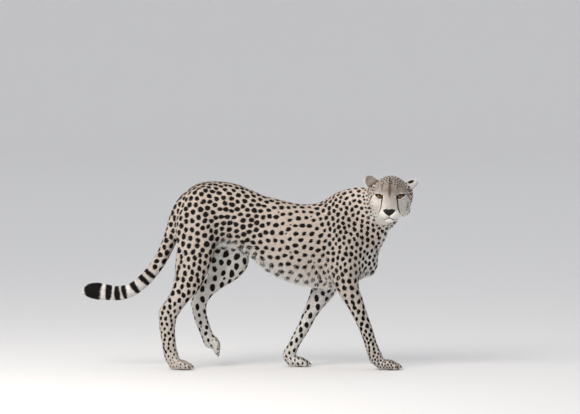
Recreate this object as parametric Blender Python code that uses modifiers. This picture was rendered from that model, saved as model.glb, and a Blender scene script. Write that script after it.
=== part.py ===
"""A walking adult cheetah as a still, life-size museum model, parted into named solids.

Run it with: blender --background --python part.py, or from Blender's text editor.

The cheetah walks towards +X with its left hind foot in the air, and turns its head to its right,
towards -Y.  Lengths are metres, +Z is up and the floor is z = 0.  The flesh is blocked out from
lofts and ellipsoids, fused and smoothed as one body, and then parted by thin cuts.
"""

import math

import bmesh
import bpy
import numpy as np
from mathutils import Matrix, Vector

# Driving sizes of the animal, in metres.
GAP = 0.0003  # clearance between neighbouring solids
VOXEL = 0.004  # grain at which the blocked-out flesh is fused
BODY_TRIANGLES = 5000  # facets of the fused body before it is parted
TRACK = 0.072  # a planted paw's distance from the midline
EYE_RADIUS = 0.0165
RING_POINTS = 28  # points around one loft section

RIGHT, LEFT = -1, 1
SIDES = {"right": RIGHT, "left": LEFT}


# ---------------------------------------------------------------- modelling tools


def clear_scene():
    for obj in list(bpy.data.objects):
        bpy.data.objects.remove(obj)


def in_collection(name):
    collection = bpy.data.collections.get(name)
    if collection is None:
        collection = bpy.data.collections.new(name)
        bpy.context.scene.collection.children.link(collection)
    return collection


def object_from(bm, name, collection="cheetah", turn_out=True):
    """A new object that takes over the bmesh; turn_out turns its faces outwards."""
    if turn_out:
        bmesh.ops.recalc_face_normals(bm, faces=bm.faces)
    mesh = bpy.data.meshes.new(name)
    bm.to_mesh(mesh)
    bm.free()
    obj = bpy.data.objects.new(name, mesh)
    in_collection(collection).objects.link(obj)
    return obj


def through(stations, count):
    """A smooth curve through rows of numbers: count rows, evenly spread along the first three columns."""
    rows = np.array(stations, float)
    steps = np.linalg.norm(np.diff(rows[:, :3], axis=0), axis=1)
    at = np.concatenate([[0.0], np.cumsum(steps)])
    slopes = np.gradient(rows, at, axis=0)
    wanted = np.linspace(0.0, at[-1], count)
    k = np.clip(np.searchsorted(at, wanted, side="right") - 1, 0, len(at) - 2)
    span = (at[k + 1] - at[k])[:, None]
    t = (wanted - at[k])[:, None] / span
    start = (2 * t**3 - 3 * t**2 + 1) * rows[k] + (t**3 - 2 * t**2 + t) * span * slopes[k]
    end = (3 * t**2 - 2 * t**3) * rows[k + 1] + (t**3 - t**2) * span * slopes[k + 1]
    return start + end


def loft(name, rings):
    """A closed skin over rings of points, with a fan at each end."""
    bm = bmesh.new()
    loops = [[bm.verts.new(p) for p in ring] for ring in rings]
    for one, two in zip(loops, loops[1:]):
        for i in range(len(one)):
            j = (i + 1) % len(one)
            bm.faces.new((one[i], one[j], two[j], two[i]))
    for loop in (loops[0], loops[-1]):
        middle = bm.verts.new(sum((v.co for v in loop), Vector()) / len(loop))
        for i in range(len(loop)):
            bm.faces.new((loop[i], loop[(i + 1) % len(loop)], middle))
    return object_from(bm, name, "flesh")


def ellipsoid(name, centre, radii, turn=(0.0, 0.0, 0.0), placed=None):
    """A ball stretched to three radii, turned by degrees about X, Y and Z, then placed by a matrix."""
    bm = bmesh.new()
    bmesh.ops.create_icosphere(bm, subdivisions=4, radius=1.0)
    spin = Matrix.Rotation(math.radians(turn[2]), 4, "Z")
    spin = spin @ Matrix.Rotation(math.radians(turn[1]), 4, "Y")
    spin = spin @ Matrix.Rotation(math.radians(turn[0]), 4, "X")
    shape = Matrix.Translation(centre) @ spin @ Matrix.Diagonal((*radii, 1.0))
    bm.transform((placed or Matrix.Identity(4)) @ shape)
    return object_from(bm, name, "flesh")


def tube(name, stations, count=None, placed=None):
    """A limb along rows of (x, y, z, half depth, half width); depth lies in the XZ plane, width across it."""
    rings = []
    rows = through(stations, count or 5 * len(stations))
    tangents = np.gradient(rows[:, :3], axis=0)
    for row, tangent in zip(rows, tangents):
        along = Vector(tangent).normalized()
        across = (Vector((0, 1, 0)) - along * along.y).normalized()
        fore = along.cross(across)
        centre = Vector(row[:3])
        ring = []
        for i in range(RING_POINTS):
            a = 2 * math.pi * i / RING_POINTS
            ring.append(centre + fore * (row[3] * math.cos(a)) + across * (row[4] * math.sin(a)))
        rings.append([placed @ p for p in ring] if placed else ring)
    return loft(name, rings)


def egg_ring(x, y, top, bottom, half_width, widest, top_power, low_power):
    """A trunk section: widest at a share of its height, with its roundness set above and below that."""
    level = bottom + widest * (top - bottom)
    ring = []
    for i in range(RING_POINTS + 12):
        a = 2 * math.pi * i / (RING_POINTS + 12)
        c, s = math.cos(a), math.sin(a)
        power = top_power if s > 0 else low_power
        reach = top - level if s > 0 else level - bottom
        out = math.copysign(abs(c) ** (2 / power), c)
        up = math.copysign(abs(s) ** (2 / power), s)
        ring.append(Vector((x, y + half_width * out, level + reach * up)))
    return ring


# ---------------------------------------------------------------- trunk, neck and tail

# x, height of back, height of belly, half width, share of height where it is widest,
# roundness of the back and of the belly (2 is an ellipse, less is a keel)
TRUNK = [
    (-0.300, 0.690, 0.600, 0.030, 0.50, 2.0, 2.0),
    (-0.273, 0.744, 0.560, 0.062, 0.50, 2.0, 2.0),
    (-0.210, 0.784, 0.525, 0.084, 0.52, 2.0, 2.0),
    (-0.140, 0.791, 0.520, 0.086, 0.55, 1.9, 2.0),
    (-0.060, 0.781, 0.512, 0.080, 0.57, 1.8, 2.0),
    (0.005, 0.756, 0.474, 0.078, 0.56, 1.8, 2.0),
    (0.070, 0.728, 0.416, 0.088, 0.56, 1.8, 1.9),
    (0.140, 0.711, 0.377, 0.100, 0.56, 1.8, 1.8),
    (0.210, 0.695, 0.353, 0.108, 0.56, 1.8, 1.7),
    (0.280, 0.699, 0.343, 0.108, 0.54, 1.7, 1.65),
    (0.345, 0.725, 0.336, 0.102, 0.50, 1.5, 1.7),
    (0.410, 0.735, 0.350, 0.090, 0.46, 1.6, 1.8),
    (0.470, 0.690, 0.376, 0.074, 0.42, 1.9, 2.0),
    (0.515, 0.610, 0.395, 0.058, 0.42, 2.0, 2.0),
    (0.542, 0.520, 0.425, 0.032, 0.50, 2.0, 2.0),
]
# x, y, z, half depth in the plane of the neck, half width across it
NECK = [
    (0.392, 0.000, 0.594, 0.138, 0.084),
    (0.425, -0.003, 0.626, 0.134, 0.080),
    (0.462, -0.012, 0.648, 0.122, 0.076),
    (0.508, -0.032, 0.664, 0.106, 0.074),
    (0.545, -0.060, 0.675, 0.094, 0.073),
    (0.575, -0.092, 0.690, 0.084, 0.070),
]
# x, y, z, half depth, half width
TAIL = [
    (-0.250, 0.000, 0.715, 0.044, 0.040),
    (-0.292, 0.000, 0.655, 0.040, 0.036),
    (-0.327, 0.002, 0.560, 0.034, 0.031),
    (-0.365, 0.006, 0.474, 0.031, 0.029),
    (-0.407, 0.012, 0.410, 0.030, 0.028),
    (-0.454, 0.020, 0.360, 0.030, 0.028),
    (-0.504, 0.030, 0.325, 0.031, 0.029),
    (-0.559, 0.041, 0.313, 0.033, 0.031),
    (-0.613, 0.050, 0.318, 0.036, 0.034),
    (-0.655, 0.055, 0.323, 0.036, 0.034),
    (-0.688, 0.058, 0.319, 0.023, 0.022),
    (-0.706, 0.059, 0.311, 0.006, 0.006),
]


def trunk_flesh():
    # The curve runs along x, so its first three columns space the rows.
    rows = through([(s[0], s[1], s[2], *s[3:]) for s in TRUNK], 60)
    rings = [egg_ring(r[0], 0.0, *r[1:]) for r in rows]
    return [loft("trunk_loft", rings)]


def neck_flesh():
    return [
        tube("neck_loft", NECK, 30),
        ellipsoid("brisket", (0.500, 0.0, 0.450), (0.047, 0.062, 0.066), (0, -20, 0)),
        ellipsoid("breast", (0.485, 0.0, 0.520), (0.060, 0.080, 0.090), (0, -6, 0)),
        ellipsoid("gullet", (0.531, -0.026, 0.562), (0.049, 0.060, 0.088), (0, 20, 0)),
    ]


def tail_flesh():
    return [tube("tail_loft", TAIL, 60)]


# ---------------------------------------------------------------- legs


# Each foot: where its heel is, heading from +X in degrees, height of its sole, length, half width,
# and degrees of droop.
FEET = {
    "forepaw_right": ((0.534, -TRACK), -4, 0.0, 0.105, 0.039, 0),
    "forepaw_left": ((0.158, TRACK), 4, 0.0, 0.100, 0.039, 0),
    "hindpaw_right": ((-0.335, -TRACK), -4, 0.0, 0.100, 0.037, 0),
    "hindpaw_left": ((-0.184, 0.075), 2, 0.118, 0.086, 0.034, 62),
}
# Each toe: its place across the foot in half widths, its reach in lengths, its fan in degrees.
# The two middle toes reach further than the two outer ones.
TOES = ((-0.76, 0.66, -9), (-0.27, 0.80, -3), (0.27, 0.80, 3), (0.76, 0.66, 9))


def foot_frame(name):
    (x, y), heading, sole, _, _, droop = FEET[name]
    turn = Matrix.Rotation(math.radians(heading), 4, "Z") @ Matrix.Rotation(math.radians(droop), 4, "Y")
    return Matrix.Translation((x, y, sole)) @ turn


def paw_flesh(name):
    """A paw: a palm with its pad, and four fanned toes with arched knuckles."""
    _, _, _, length, width, _ = FEET[name]
    placed = foot_frame(name)
    pieces = [
        ellipsoid("palm", (0.36 * length, 0, 0.021), (0.42 * length, 0.80 * width, 0.024), placed=placed),
        ellipsoid("pad", (0.30 * length, 0, 0.009), (0.24 * length, 0.62 * width, 0.013), placed=placed),
    ]
    for across, reach, fan in TOES:
        knuckle = (reach * length - 0.020, across * width, 0.024)
        tip = (reach * length + 0.006, across * width * 1.05, 0.0145)
        pieces.append(ellipsoid("toe", knuckle, (0.027, 0.27 * width, 0.0185), (0, 22, fan), placed=placed))
        pieces.append(ellipsoid("tip", tip, (0.016, 0.26 * width, 0.0155), (0, 10, fan), placed=placed))
    return pieces


# Each row of a leg is x, y, z, half depth fore and aft, half width side to side.
FORE_RIGHT = [
    (0.372, -0.066, 0.600, 0.060, 0.034),
    (0.398, -0.076, 0.500, 0.075, 0.042),
    (0.405, -0.080, 0.420, 0.067, 0.042),
    (0.411, -0.080, 0.365, 0.055, 0.038),
    (0.425, -0.079, 0.320, 0.046, 0.034),
    (0.443, -0.077, 0.280, 0.039, 0.030),
    (0.465, -0.075, 0.227, 0.0335, 0.027),
    (0.488, -0.073, 0.172, 0.0305, 0.025),
    (0.504, -0.072, 0.122, 0.0290, 0.0245),
    (0.519, -0.072, 0.078, 0.0300, 0.0260),
    (0.535, -0.072, 0.042, 0.0300, 0.0270),
    (0.552, -0.072, 0.022, 0.0200, 0.0240),
]
FORE_LEFT = [
    (0.372, 0.066, 0.600, 0.060, 0.034),
    (0.365, 0.076, 0.500, 0.070, 0.042),
    (0.345, 0.080, 0.420, 0.062, 0.042),
    (0.325, 0.080, 0.350, 0.055, 0.038),
    (0.303, 0.079, 0.312, 0.048, 0.034),
    (0.281, 0.077, 0.272, 0.041, 0.030),
    (0.252, 0.075, 0.220, 0.033, 0.027),
    (0.234, 0.074, 0.178, 0.0305, 0.025),
    (0.214, 0.073, 0.142, 0.0280, 0.0245),
    (0.194, 0.072, 0.108, 0.0270, 0.0245),
    (0.177, 0.072, 0.074, 0.0275, 0.0250),
    (0.166, 0.072, 0.044, 0.0290, 0.0260),
    (0.174, 0.072, 0.020, 0.0200, 0.0240),
]
HIND_RIGHT = [
    (-0.200, -0.048, 0.650, 0.086, 0.040),
    (-0.212, -0.056, 0.570, 0.092, 0.044),
    (-0.228, -0.062, 0.490, 0.081, 0.042),
    (-0.241, -0.066, 0.420, 0.071, 0.039),
    (-0.258, -0.068, 0.368, 0.062, 0.035),
    (-0.286, -0.070, 0.319, 0.048, 0.029),
    (-0.314, -0.071, 0.275, 0.042, 0.025),
    (-0.337, -0.071, 0.238, 0.043, 0.024),
    (-0.344, -0.071, 0.197, 0.038, 0.024),
    (-0.341, -0.071, 0.143, 0.0335, 0.0235),
    (-0.334, -0.071, 0.088, 0.0310, 0.0245),
    (-0.322, -0.071, 0.045, 0.0310, 0.0270),
    (-0.306, -0.071, 0.022, 0.0200, 0.0240),
]
HIND_LEFT = [
    (-0.170, 0.048, 0.640, 0.086, 0.040),
    (-0.130, 0.056, 0.570, 0.092, 0.044),
    (-0.080, 0.064, 0.500, 0.075, 0.042),
    (-0.060, 0.069, 0.447, 0.060, 0.040),
    (-0.092, 0.072, 0.408, 0.056, 0.037),
    (-0.134, 0.073, 0.371, 0.046, 0.032),
    (-0.186, 0.074, 0.318, 0.035, 0.026),
    (-0.212, 0.075, 0.272, 0.035, 0.024),
    (-0.210, 0.075, 0.220, 0.0315, 0.0235),
    (-0.197, 0.075, 0.178, 0.0290, 0.0225),
    (-0.181, 0.075, 0.136, 0.0280, 0.0235),
    (-0.168, 0.075, 0.100, 0.0270, 0.0260),
    (-0.160, 0.075, 0.080, 0.0200, 0.0240),
]


def leg_flesh():
    pieces = [
        tube("fore_right_loft", FORE_RIGHT),
        tube("fore_left_loft", FORE_LEFT),
        tube("hind_right_loft", HIND_RIGHT),
        tube("hind_left_loft", HIND_LEFT),
        # Point of each hock, where the heel tendon ends
        ellipsoid("hock_right", (-0.366, -0.071, 0.236), (0.022, 0.015, 0.026), (0, -14, 0)),
        ellipsoid("hock_left", (-0.236, 0.075, 0.268), (0.018, 0.014, 0.026), (0, -28, 0)),
        # Point of each elbow
        ellipsoid("elbow_right", (0.374, -0.088, 0.368), (0.026, 0.020, 0.036), (0, 14, 0)),
        ellipsoid("elbow_left", (0.280, 0.088, 0.330), (0.024, 0.020, 0.036), (0, 30, 0)),
    ]
    for name, side, lean in (("right", RIGHT, 10), ("left", LEFT, 2)):
        pieces += [
            # Shoulder blade, point of the shoulder, upper arm
            ellipsoid(f"blade_{name}", (0.385, side * 0.052, 0.640), (0.055, 0.032, 0.105), (side * 14, 12, 0)),
            ellipsoid(f"shoulder_{name}", (0.435, side * 0.068, 0.530), (0.060, 0.036, 0.085), (0, lean, 0)),
            ellipsoid(f"triceps_{name}", (0.375, side * 0.082, 0.465), (0.060, 0.030, 0.090), (0, 12, 0)),
            # Hip and the muscle over it
            ellipsoid(f"hip_{name}", (-0.190, side * 0.046, 0.680), (0.090, 0.046, 0.090), (0, 10, 0)),
        ]
    pieces += [
        # The raised leg draws its buttock forward.
        ellipsoid("buttock_right", (-0.262, -0.050, 0.600), (0.050, 0.044, 0.100), (0, 8, 0)),
        ellipsoid("buttock_left", (-0.235, 0.050, 0.625), (0.060, 0.044, 0.090), (0, -24, 0)),
    ]
    # Hamstrings of the raised leg, seen behind its shank
    pieces.append(ellipsoid("hamstring_left", (-0.157, 0.066, 0.478), (0.056, 0.030, 0.098), (0, -20, 0)))
    return pieces


def all_paws():
    return [piece for name in FEET for piece in paw_flesh(name)]


# ---------------------------------------------------------------- head

# The head's own frame: +X forward along the snout, +Y to its left, +Z up.  Its origin is on the
# midline, level with the eyes, at the middle of the skull.
HEAD_AT = Vector((0.590, -0.115, 0.7385))
HEAD_TURN = -94.0  # degrees from the body's heading: it looks out to its right
EYE_AT = Vector((0.0615, 0.0430, -0.0005))  # the left eye

# x, 0, height of its middle, half height, half width, along the skull and the snout
SKULL = [
    (-0.096, 0.0, 0.006, 0.018, 0.020),
    (-0.082, 0.0, 0.006, 0.048, 0.046),
    (-0.050, 0.0, 0.004, 0.071, 0.068),
    (-0.010, 0.0, -0.002, 0.082, 0.077),
    (0.028, 0.0, -0.014, 0.081, 0.070),
    (0.054, 0.0, -0.032, 0.068, 0.055),
    (0.078, 0.0, -0.048, 0.057, 0.042),
    (0.102, 0.0, -0.060, 0.047, 0.038),
    (0.120, 0.0, -0.068, 0.038, 0.031),
    (0.132, 0.0, -0.072, 0.025, 0.022),
]


def head_frame():
    return Matrix.Translation(HEAD_AT) @ Matrix.Rotation(math.radians(HEAD_TURN), 4, "Z")


def head_flesh():
    placed = head_frame()
    pieces = [
        tube("skull_loft", SKULL, 50, placed=placed),
        ellipsoid("forehead", (0.028, 0, 0.036), (0.044, 0.052, 0.040), (0, 24, 0), placed=placed),
        ellipsoid("bridge", (0.093, 0, -0.0415), (0.050, 0.021, 0.020), (0, 38, 0), placed=placed),
        ellipsoid("nose_end", (0.127, 0, -0.060), (0.013, 0.022, 0.013), (0, 20, 0), placed=placed),
        ellipsoid("chin", (0.112, 0, -0.098), (0.024, 0.023, 0.0145), (0, 6, 0), placed=placed),
        ellipsoid("throat", (0.030, 0, -0.085), (0.060, 0.048, 0.030), (0, 6, 0), placed=placed),
        ellipsoid("root_right", (-0.020, -0.068, 0.030), (0.022, 0.020, 0.036), (30, 0, 0), placed=placed),
        ellipsoid("root_left", (-0.024, 0.070, 0.032), (0.020, 0.022, 0.030), (-40, 0, 0), placed=placed),
    ]
    for name, side in SIDES.items():
        pieces += [
            ellipsoid(f"brow_{name}", (0.050, side * 0.037, 0.019), (0.023, 0.028, 0.013), (side * -8, 20, side * 30), placed=placed),
            ellipsoid(f"cheek_{name}", (0.040, side * 0.054, -0.036), (0.042, 0.027, 0.034), (0, 10, side * -36), placed=placed),
            ellipsoid(f"ruff_{name}", (-0.008, side * 0.066, -0.014), (0.042, 0.027, 0.056), (side * -10, 0, 0), placed=placed),
            ellipsoid(f"jowl_{name}", (0.020, side * 0.052, -0.060), (0.048, 0.029, 0.034), (side * 20, 0, side * -20), placed=placed),
            ellipsoid(f"lip_{name}", (0.108, side * 0.022, -0.077), (0.032, 0.0225, 0.0205), (0, 8, side * -18), placed=placed),
        ]
    return pieces


# base of each ear, the way its tip points, the way it opens, half width, half height
EARS = {
    "ear_right": ((-0.022, -0.085, 0.049), (-0.15, -0.58, 0.80), (0.95, -0.28, 0.10), 0.035, 0.038),
    "ear_left": ((-0.026, 0.089, 0.043), (-0.20, 0.79, 0.58), (-0.80, 0.25, -0.50), 0.030, 0.034),
}
EAR_THICK = 0.0085  # half the thickness of the cup
EAR_CUP = 11.0  # how fast the cup deepens away from its middle, per metre


def ear_flesh():
    pieces = []
    for name, (at, tip, opening, half_width, half_height) in EARS.items():
        up = Vector(tip).normalized()
        face = Vector(opening)
        face = (face - up * face.dot(up)).normalized()
        across = up.cross(face)
        frame = Matrix((face, across, up)).transposed().to_4x4()
        frame = head_frame() @ Matrix.Translation(at) @ frame
        bm = bmesh.new()
        bmesh.ops.create_icosphere(bm, subdivisions=4, radius=1.0)
        for v in bm.verts:
            y, z = v.co.y * half_width, v.co.z * half_height
            v.co = frame @ Vector((v.co.x * EAR_THICK + EAR_CUP * (y * y + 0.6 * z * z) - 0.004, y, z))
        pieces.append(object_from(bm, name, "flesh"))
    return pieces


# ---------------------------------------------------------------- fusing


def apply_modifiers(obj):
    graph = bpy.context.evaluated_depsgraph_get()
    mesh = bpy.data.meshes.new_from_object(obj.evaluated_get(graph))
    obj.modifiers.clear()
    old, obj.data = obj.data, mesh
    bpy.data.meshes.remove(old)
    return obj


def fused(name, pieces, fillet=0.0, smoothing=6):
    """Pieces of flesh as one closed body; fillet is the radius that hollow joins are filled with."""
    bm = bmesh.new()
    for piece in pieces:
        bm.from_mesh(piece.data)
        bpy.data.objects.remove(piece)
    body = object_from(bm, name, "flesh")

    def remesh():
        step = body.modifiers.new("fuse", "REMESH")
        step.mode = "VOXEL"
        step.voxel_size = VOXEL

    def swell(amount):
        step = body.modifiers.new("swell", "DISPLACE")
        step.strength = amount
        step.mid_level = 0.0

    remesh()
    if fillet:
        swell(fillet)
        remesh()
        swell(-fillet)
        remesh()
    smooth = body.modifiers.new("smooth", "SMOOTH")
    smooth.factor = 0.5
    smooth.iterations = smoothing
    return apply_modifiers(body)


def thinned(body, triangles):
    """Fewer facets, kept finer on the head and the feet."""
    fine = body.vertex_groups.new(name="fine")
    for v in body.data.vertices:
        near_head = (0.190 - (v.co - HEAD_AT).length) / 0.050
        near_floor = 0.75 * (0.100 - v.co.z) / 0.030
        weight = 0.9 * min(1.0, max(0.0, near_head, near_floor))
        fine.add([v.index], weight, "REPLACE")
    step = body.modifiers.new("thin", "DECIMATE")
    step.ratio = triangles / (2 * len(body.data.polygons))
    step.vertex_group = "fine"
    step.invert_vertex_group = True
    step.vertex_group_factor = 0.007
    step.use_collapse_triangulate = True
    apply_modifiers(body)
    body.vertex_groups.clear()
    return body


# ---------------------------------------------------------------- parting

# Where the body is parted: centre of the cut, the way it faces, its half lengths fore and aft and
# side to side.
CUTS = {
    "neck_base": ((0.4725, 0.000, 0.6375), (0.802, 0.0, 0.597), 0.185, 0.125),
    "head_base": ((0.5600, -0.060, 0.6800), (0.45, -0.75, 0.48), 0.125, 0.125),
    "ear_right": ((-0.014, -0.074, 0.042), (-0.15, -0.58, 0.80), 0.042, 0.056),
    "ear_left": ((-0.022, 0.075, 0.034), (-0.20, 0.79, 0.58), 0.042, 0.040),
    "tail_one": ((-0.3720, 0.007, 0.4640), (-0.57, 0.08, -0.82), 0.050, 0.050),
    "tail_two": ((-0.4900, 0.027, 0.3340), (-0.83, 0.16, -0.54), 0.050, 0.050),
    "tail_three": ((-0.6000, 0.048, 0.3160), (-0.99, 0.14, 0.07), 0.055, 0.055),
    "elbow_right": ((0.4320, -0.078, 0.3000), (0.39, 0.04, -0.92), 0.070, 0.055),
    "elbow_left": ((0.2920, 0.078, 0.2920), (-0.48, -0.03, -0.88), 0.070, 0.055),
    "wrist_right": ((0.5250, -0.072, 0.0640), (0.30, 0.0, -0.95), 0.050, 0.045),
    "wrist_left": ((0.1740, 0.072, 0.0640), (-0.28, 0.0, -0.96), 0.050, 0.045),
    "thigh_right": ((-0.2220, -0.064, 0.4970), (0.05, 0.0, -1.0), 0.115, 0.056),
    "thigh_left": ((-0.0900, 0.066, 0.4800), (-0.222, 0.0, -0.975), 0.135, 0.058),
    "knee_right": ((-0.2640, -0.068, 0.3580), (-0.50, 0.0, -0.87), 0.085, 0.050),
    "knee_left": ((-0.1560, 0.074, 0.3480), (-0.72, 0.0, -0.69), 0.075, 0.050),
    "hock_right": ((-0.3430, -0.071, 0.2060), (0.0, 0.0, -1.0), 0.055, 0.040),
    "hock_left": ((-0.2120, 0.075, 0.2360), (0.05, 0.0, -1.0), 0.050, 0.040),
    "foot_right": ((-0.3280, -0.071, 0.0640), (0.28, 0.0, -0.96), 0.048, 0.042),
    "foot_left": ((-0.1720, 0.075, 0.1100), (0.34, 0.0, -0.94), 0.045, 0.042),
}

# A point inside each piece that the cuts leave
PIECES = {
    "trunk": (0.150, 0.000, 0.600),
    "neck": (0.500, -0.020, 0.650),
    "head": (0.590, -0.125, 0.720),
    "ear_right": (0.497, -0.090, 0.806),
    "ear_left": (0.692, -0.090, 0.792),
    "tail_upper": (-0.435, 0.017, 0.379),
    "tail_middle": (-0.545, 0.038, 0.315),
    "tail_tip": (-0.650, 0.055, 0.322),
    "foreleg_right": (0.477, -0.074, 0.200),
    "foreleg_left": (0.243, 0.075, 0.200),
    "forepaw_right": (0.570, -0.074, 0.020),
    "forepaw_left": (0.195, 0.074, 0.020),
    "thigh_right": (-0.238, -0.064, 0.430),
    "thigh_left": (-0.075, 0.068, 0.440),
    "shank_right": (-0.314, -0.071, 0.275),
    "shank_left": (-0.186, 0.074, 0.300),
    "metatarsus_right": (-0.341, -0.071, 0.140),
    "metatarsus_left": (-0.195, 0.075, 0.175),
    "hindpaw_right": (-0.300, -0.072, 0.020),
    "hindpaw_left": (-0.155, 0.075, 0.085),
}


def cut_frame(name):
    at, facing, _, _ = CUTS[name]
    facing = Vector(facing).normalized()
    if name.startswith("ear"):
        # An ear's cut is laid out in the head's frame, with its short way across the cup.
        opening = Vector(EARS[name][2])
        fore = (opening - facing * opening.dot(facing)).normalized()
        side = facing.cross(fore)
        place = head_frame()
    else:
        side = (Vector((0, 1, 0)) - facing * facing.y).normalized()
        fore = side.cross(facing)
        place = Matrix.Identity(4)
    turn = Matrix((fore, side, facing)).transposed().to_4x4()
    return place @ Matrix.Translation(at) @ turn


def thin_rims(bm):
    """Merges the close-set points around each sawn face, which stay in its plane."""
    for name, (_, _, fore, side) in CUTS.items():
        unplace = cut_frame(name).inverted()
        for level in (-GAP / 2, GAP / 2):
            rim = []
            for v in bm.verts:
                local = unplace @ v.co
                if abs(local.z - level) < 2e-6 and abs(local.x) < fore and abs(local.y) < side:
                    rim.append(v)
            bmesh.ops.remove_doubles(bm, verts=rim, dist=0.006)


def cutters():
    """Every thin saw cut as one mesh."""
    bm = bmesh.new()
    for name, (_, _, fore, side) in CUTS.items():
        size = Matrix.Diagonal((2 * fore, 2 * side, GAP, 1.0))
        bmesh.ops.create_cube(bm, size=1.0, matrix=cut_frame(name) @ size)
    return object_from(bm, "saw_cuts", "flesh")


def boolean(target, cutter):
    """Cuts the cutter's shape from the target, and removes the cutter."""
    step = target.modifiers.new("cut", "BOOLEAN")
    step.operation = "DIFFERENCE"
    step.solver = "EXACT"
    step.object = cutter
    apply_modifiers(target)
    bpy.data.objects.remove(cutter)


def flatten_soles(body):
    """Cuts off what lies below the floor, which leaves small flats under the standing feet."""
    bm = bmesh.new()
    bm.from_mesh(body.data)
    everything = bm.verts[:] + bm.edges[:] + bm.faces[:]
    bmesh.ops.bisect_plane(bm, geom=everything, plane_co=(0, 0, 0), plane_no=(0, 0, -1), clear_outer=True)
    bmesh.ops.holes_fill(bm, edges=[e for e in bm.edges if e.is_boundary])
    bmesh.ops.triangulate(bm, faces=[f for f in bm.faces if len(f.verts) > 3])
    bm.to_mesh(body.data)
    bm.free()
    return body


def parted(body, material):
    """Each separate closed surface of the body as an object, named by the point in PIECES nearest to its middle."""
    bm = bmesh.new()
    bm.from_mesh(body.data)
    bpy.data.objects.remove(body)
    seen, parts = set(), []
    for face in bm.faces:
        if face in seen:
            continue
        seen.add(face)
        part = [face]
        for one in part:
            for edge in one.edges:
                part += [other for other in edge.link_faces if other not in seen]
                seen.update(edge.link_faces)
        parts.append(part)
    made = []
    for part in parts:
        corners = {v for face in part for v in face.verts}
        middle = sum((v.co for v in corners), Vector()) / len(corners)
        name = min(PIECES, key=lambda piece: (Vector(PIECES[piece]) - middle).length)
        if len(corners) < 40 or name in made:
            raise RuntimeError(f"the cuts left an unforeseen piece of {len(part)} faces at {middle}")
        made.append(name)
        piece = bmesh.new()
        copies = {v: piece.verts.new(v.co) for v in corners}
        for face in part:
            piece.faces.new([copies[v] for v in face.verts])
        # Slivers that the cuts left are merged away.
        thin_rims(piece)
        bmesh.ops.remove_doubles(piece, verts=piece.verts, dist=0.00004)
        bmesh.ops.dissolve_degenerate(piece, edges=piece.edges, dist=0.00002)
        bmesh.ops.triangulate(piece, faces=piece.faces)
        dress(object_from(piece, name, turn_out=False), material)
    bm.free()
    return made


def dress(obj, material):
    obj.data.materials.clear()
    obj.data.materials.append(material)
    obj.data.shade_smooth()
    obj.data.set_sharp_from_angle(angle=math.radians(50))


def surface(name, colour, roughness):
    material = bpy.data.materials.new(name)
    material.use_nodes = True
    shader = material.node_tree.nodes["Principled BSDF"]
    shader.inputs["Base Color"].default_value = (*colour, 1.0)
    shader.inputs["Roughness"].default_value = roughness
    return material


# ---------------------------------------------------------------- eyes and claws


def eye_shape(name, side, radius):
    bm = bmesh.new()
    bmesh.ops.create_icosphere(bm, subdivisions=3, radius=radius)
    at = Vector((EYE_AT.x, side * EYE_AT.y, EYE_AT.z))
    bm.transform(head_frame() @ Matrix.Translation(at))
    return object_from(bm, name)


CLAW = 0.013  # length of a claw along its outer curve
CLAW_ROOT = 0.0026  # half its thickness at the root
CLAW_SIDES = 5


def claw_frame(foot, toe):
    _, _, _, length, width, _ = FEET[foot]
    across, reach, fan = TOES[toe]
    at = (reach * length + 0.0145, across * width * 1.06, 0.0165)
    turn = Matrix.Rotation(math.radians(fan), 4, "Z") @ Matrix.Rotation(math.radians(22), 4, "Y")
    return foot_frame(foot) @ Matrix.Translation(at) @ turn


def claw_shape(name, placed, grow=0.0):
    """A claw that curves down from its root; grow widens and lengthens it into the cutter of its socket."""
    bm = bmesh.new()
    rings = []
    for k in range(3):
        t = k / 2
        bend = math.radians(40) * t
        along = t * CLAW + grow * (2 * t - 1)
        centre = Vector((along * math.cos(bend), 0, -along * math.sin(bend)))
        radius = CLAW_ROOT * (1 - 0.80 * t) + grow
        ring = []
        for i in range(CLAW_SIDES):
            a = 2 * math.pi * (i + 0.5) / CLAW_SIDES
            offset = Vector((math.sin(2 * bend) * math.sin(a), 0.9 * math.cos(a), math.cos(2 * bend) * math.sin(a)))
            ring.append(bm.verts.new(placed @ (centre + radius * offset)))
        rings.append(ring)
    for one, two in zip(rings, rings[1:]):
        for i in range(CLAW_SIDES):
            j = (i + 1) % CLAW_SIDES
            bm.faces.new((one[i], one[j], two[j], two[i]))
    bm.faces.new(rings[0])
    bm.faces.new(rings[-1])
    bmesh.ops.triangulate(bm, faces=bm.faces)
    return object_from(bm, name)


# ---------------------------------------------------------------- the whole animal


def stand_at_origin():
    """Moves everything so that the middle of the underside of its bounding box is the origin."""
    parts = list(in_collection("cheetah").objects)
    corners = np.array([v.co for part in parts for v in part.data.vertices])
    low, high = corners.min(axis=0), corners.max(axis=0)
    shift = Matrix.Translation((-(low[0] + high[0]) / 2, -(low[1] + high[1]) / 2, -low[2]))
    for part in parts:
        part.data.transform(shift)


def hollow_orbits(skull):
    """The hollows that the eyes lie in."""
    for side in SIDES.values():
        at = (EYE_AT.x + 0.0175, side * (EYE_AT.y + 0.003), EYE_AT.z)
        boolean(skull, ellipsoid("orbit", at, (0.0120, 0.0190, 0.0115), (0, 0, side * 28), head_frame()))
    smooth = skull.modifiers.new("smooth", "SMOOTH")
    smooth.iterations = 3
    apply_modifiers(skull)


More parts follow.
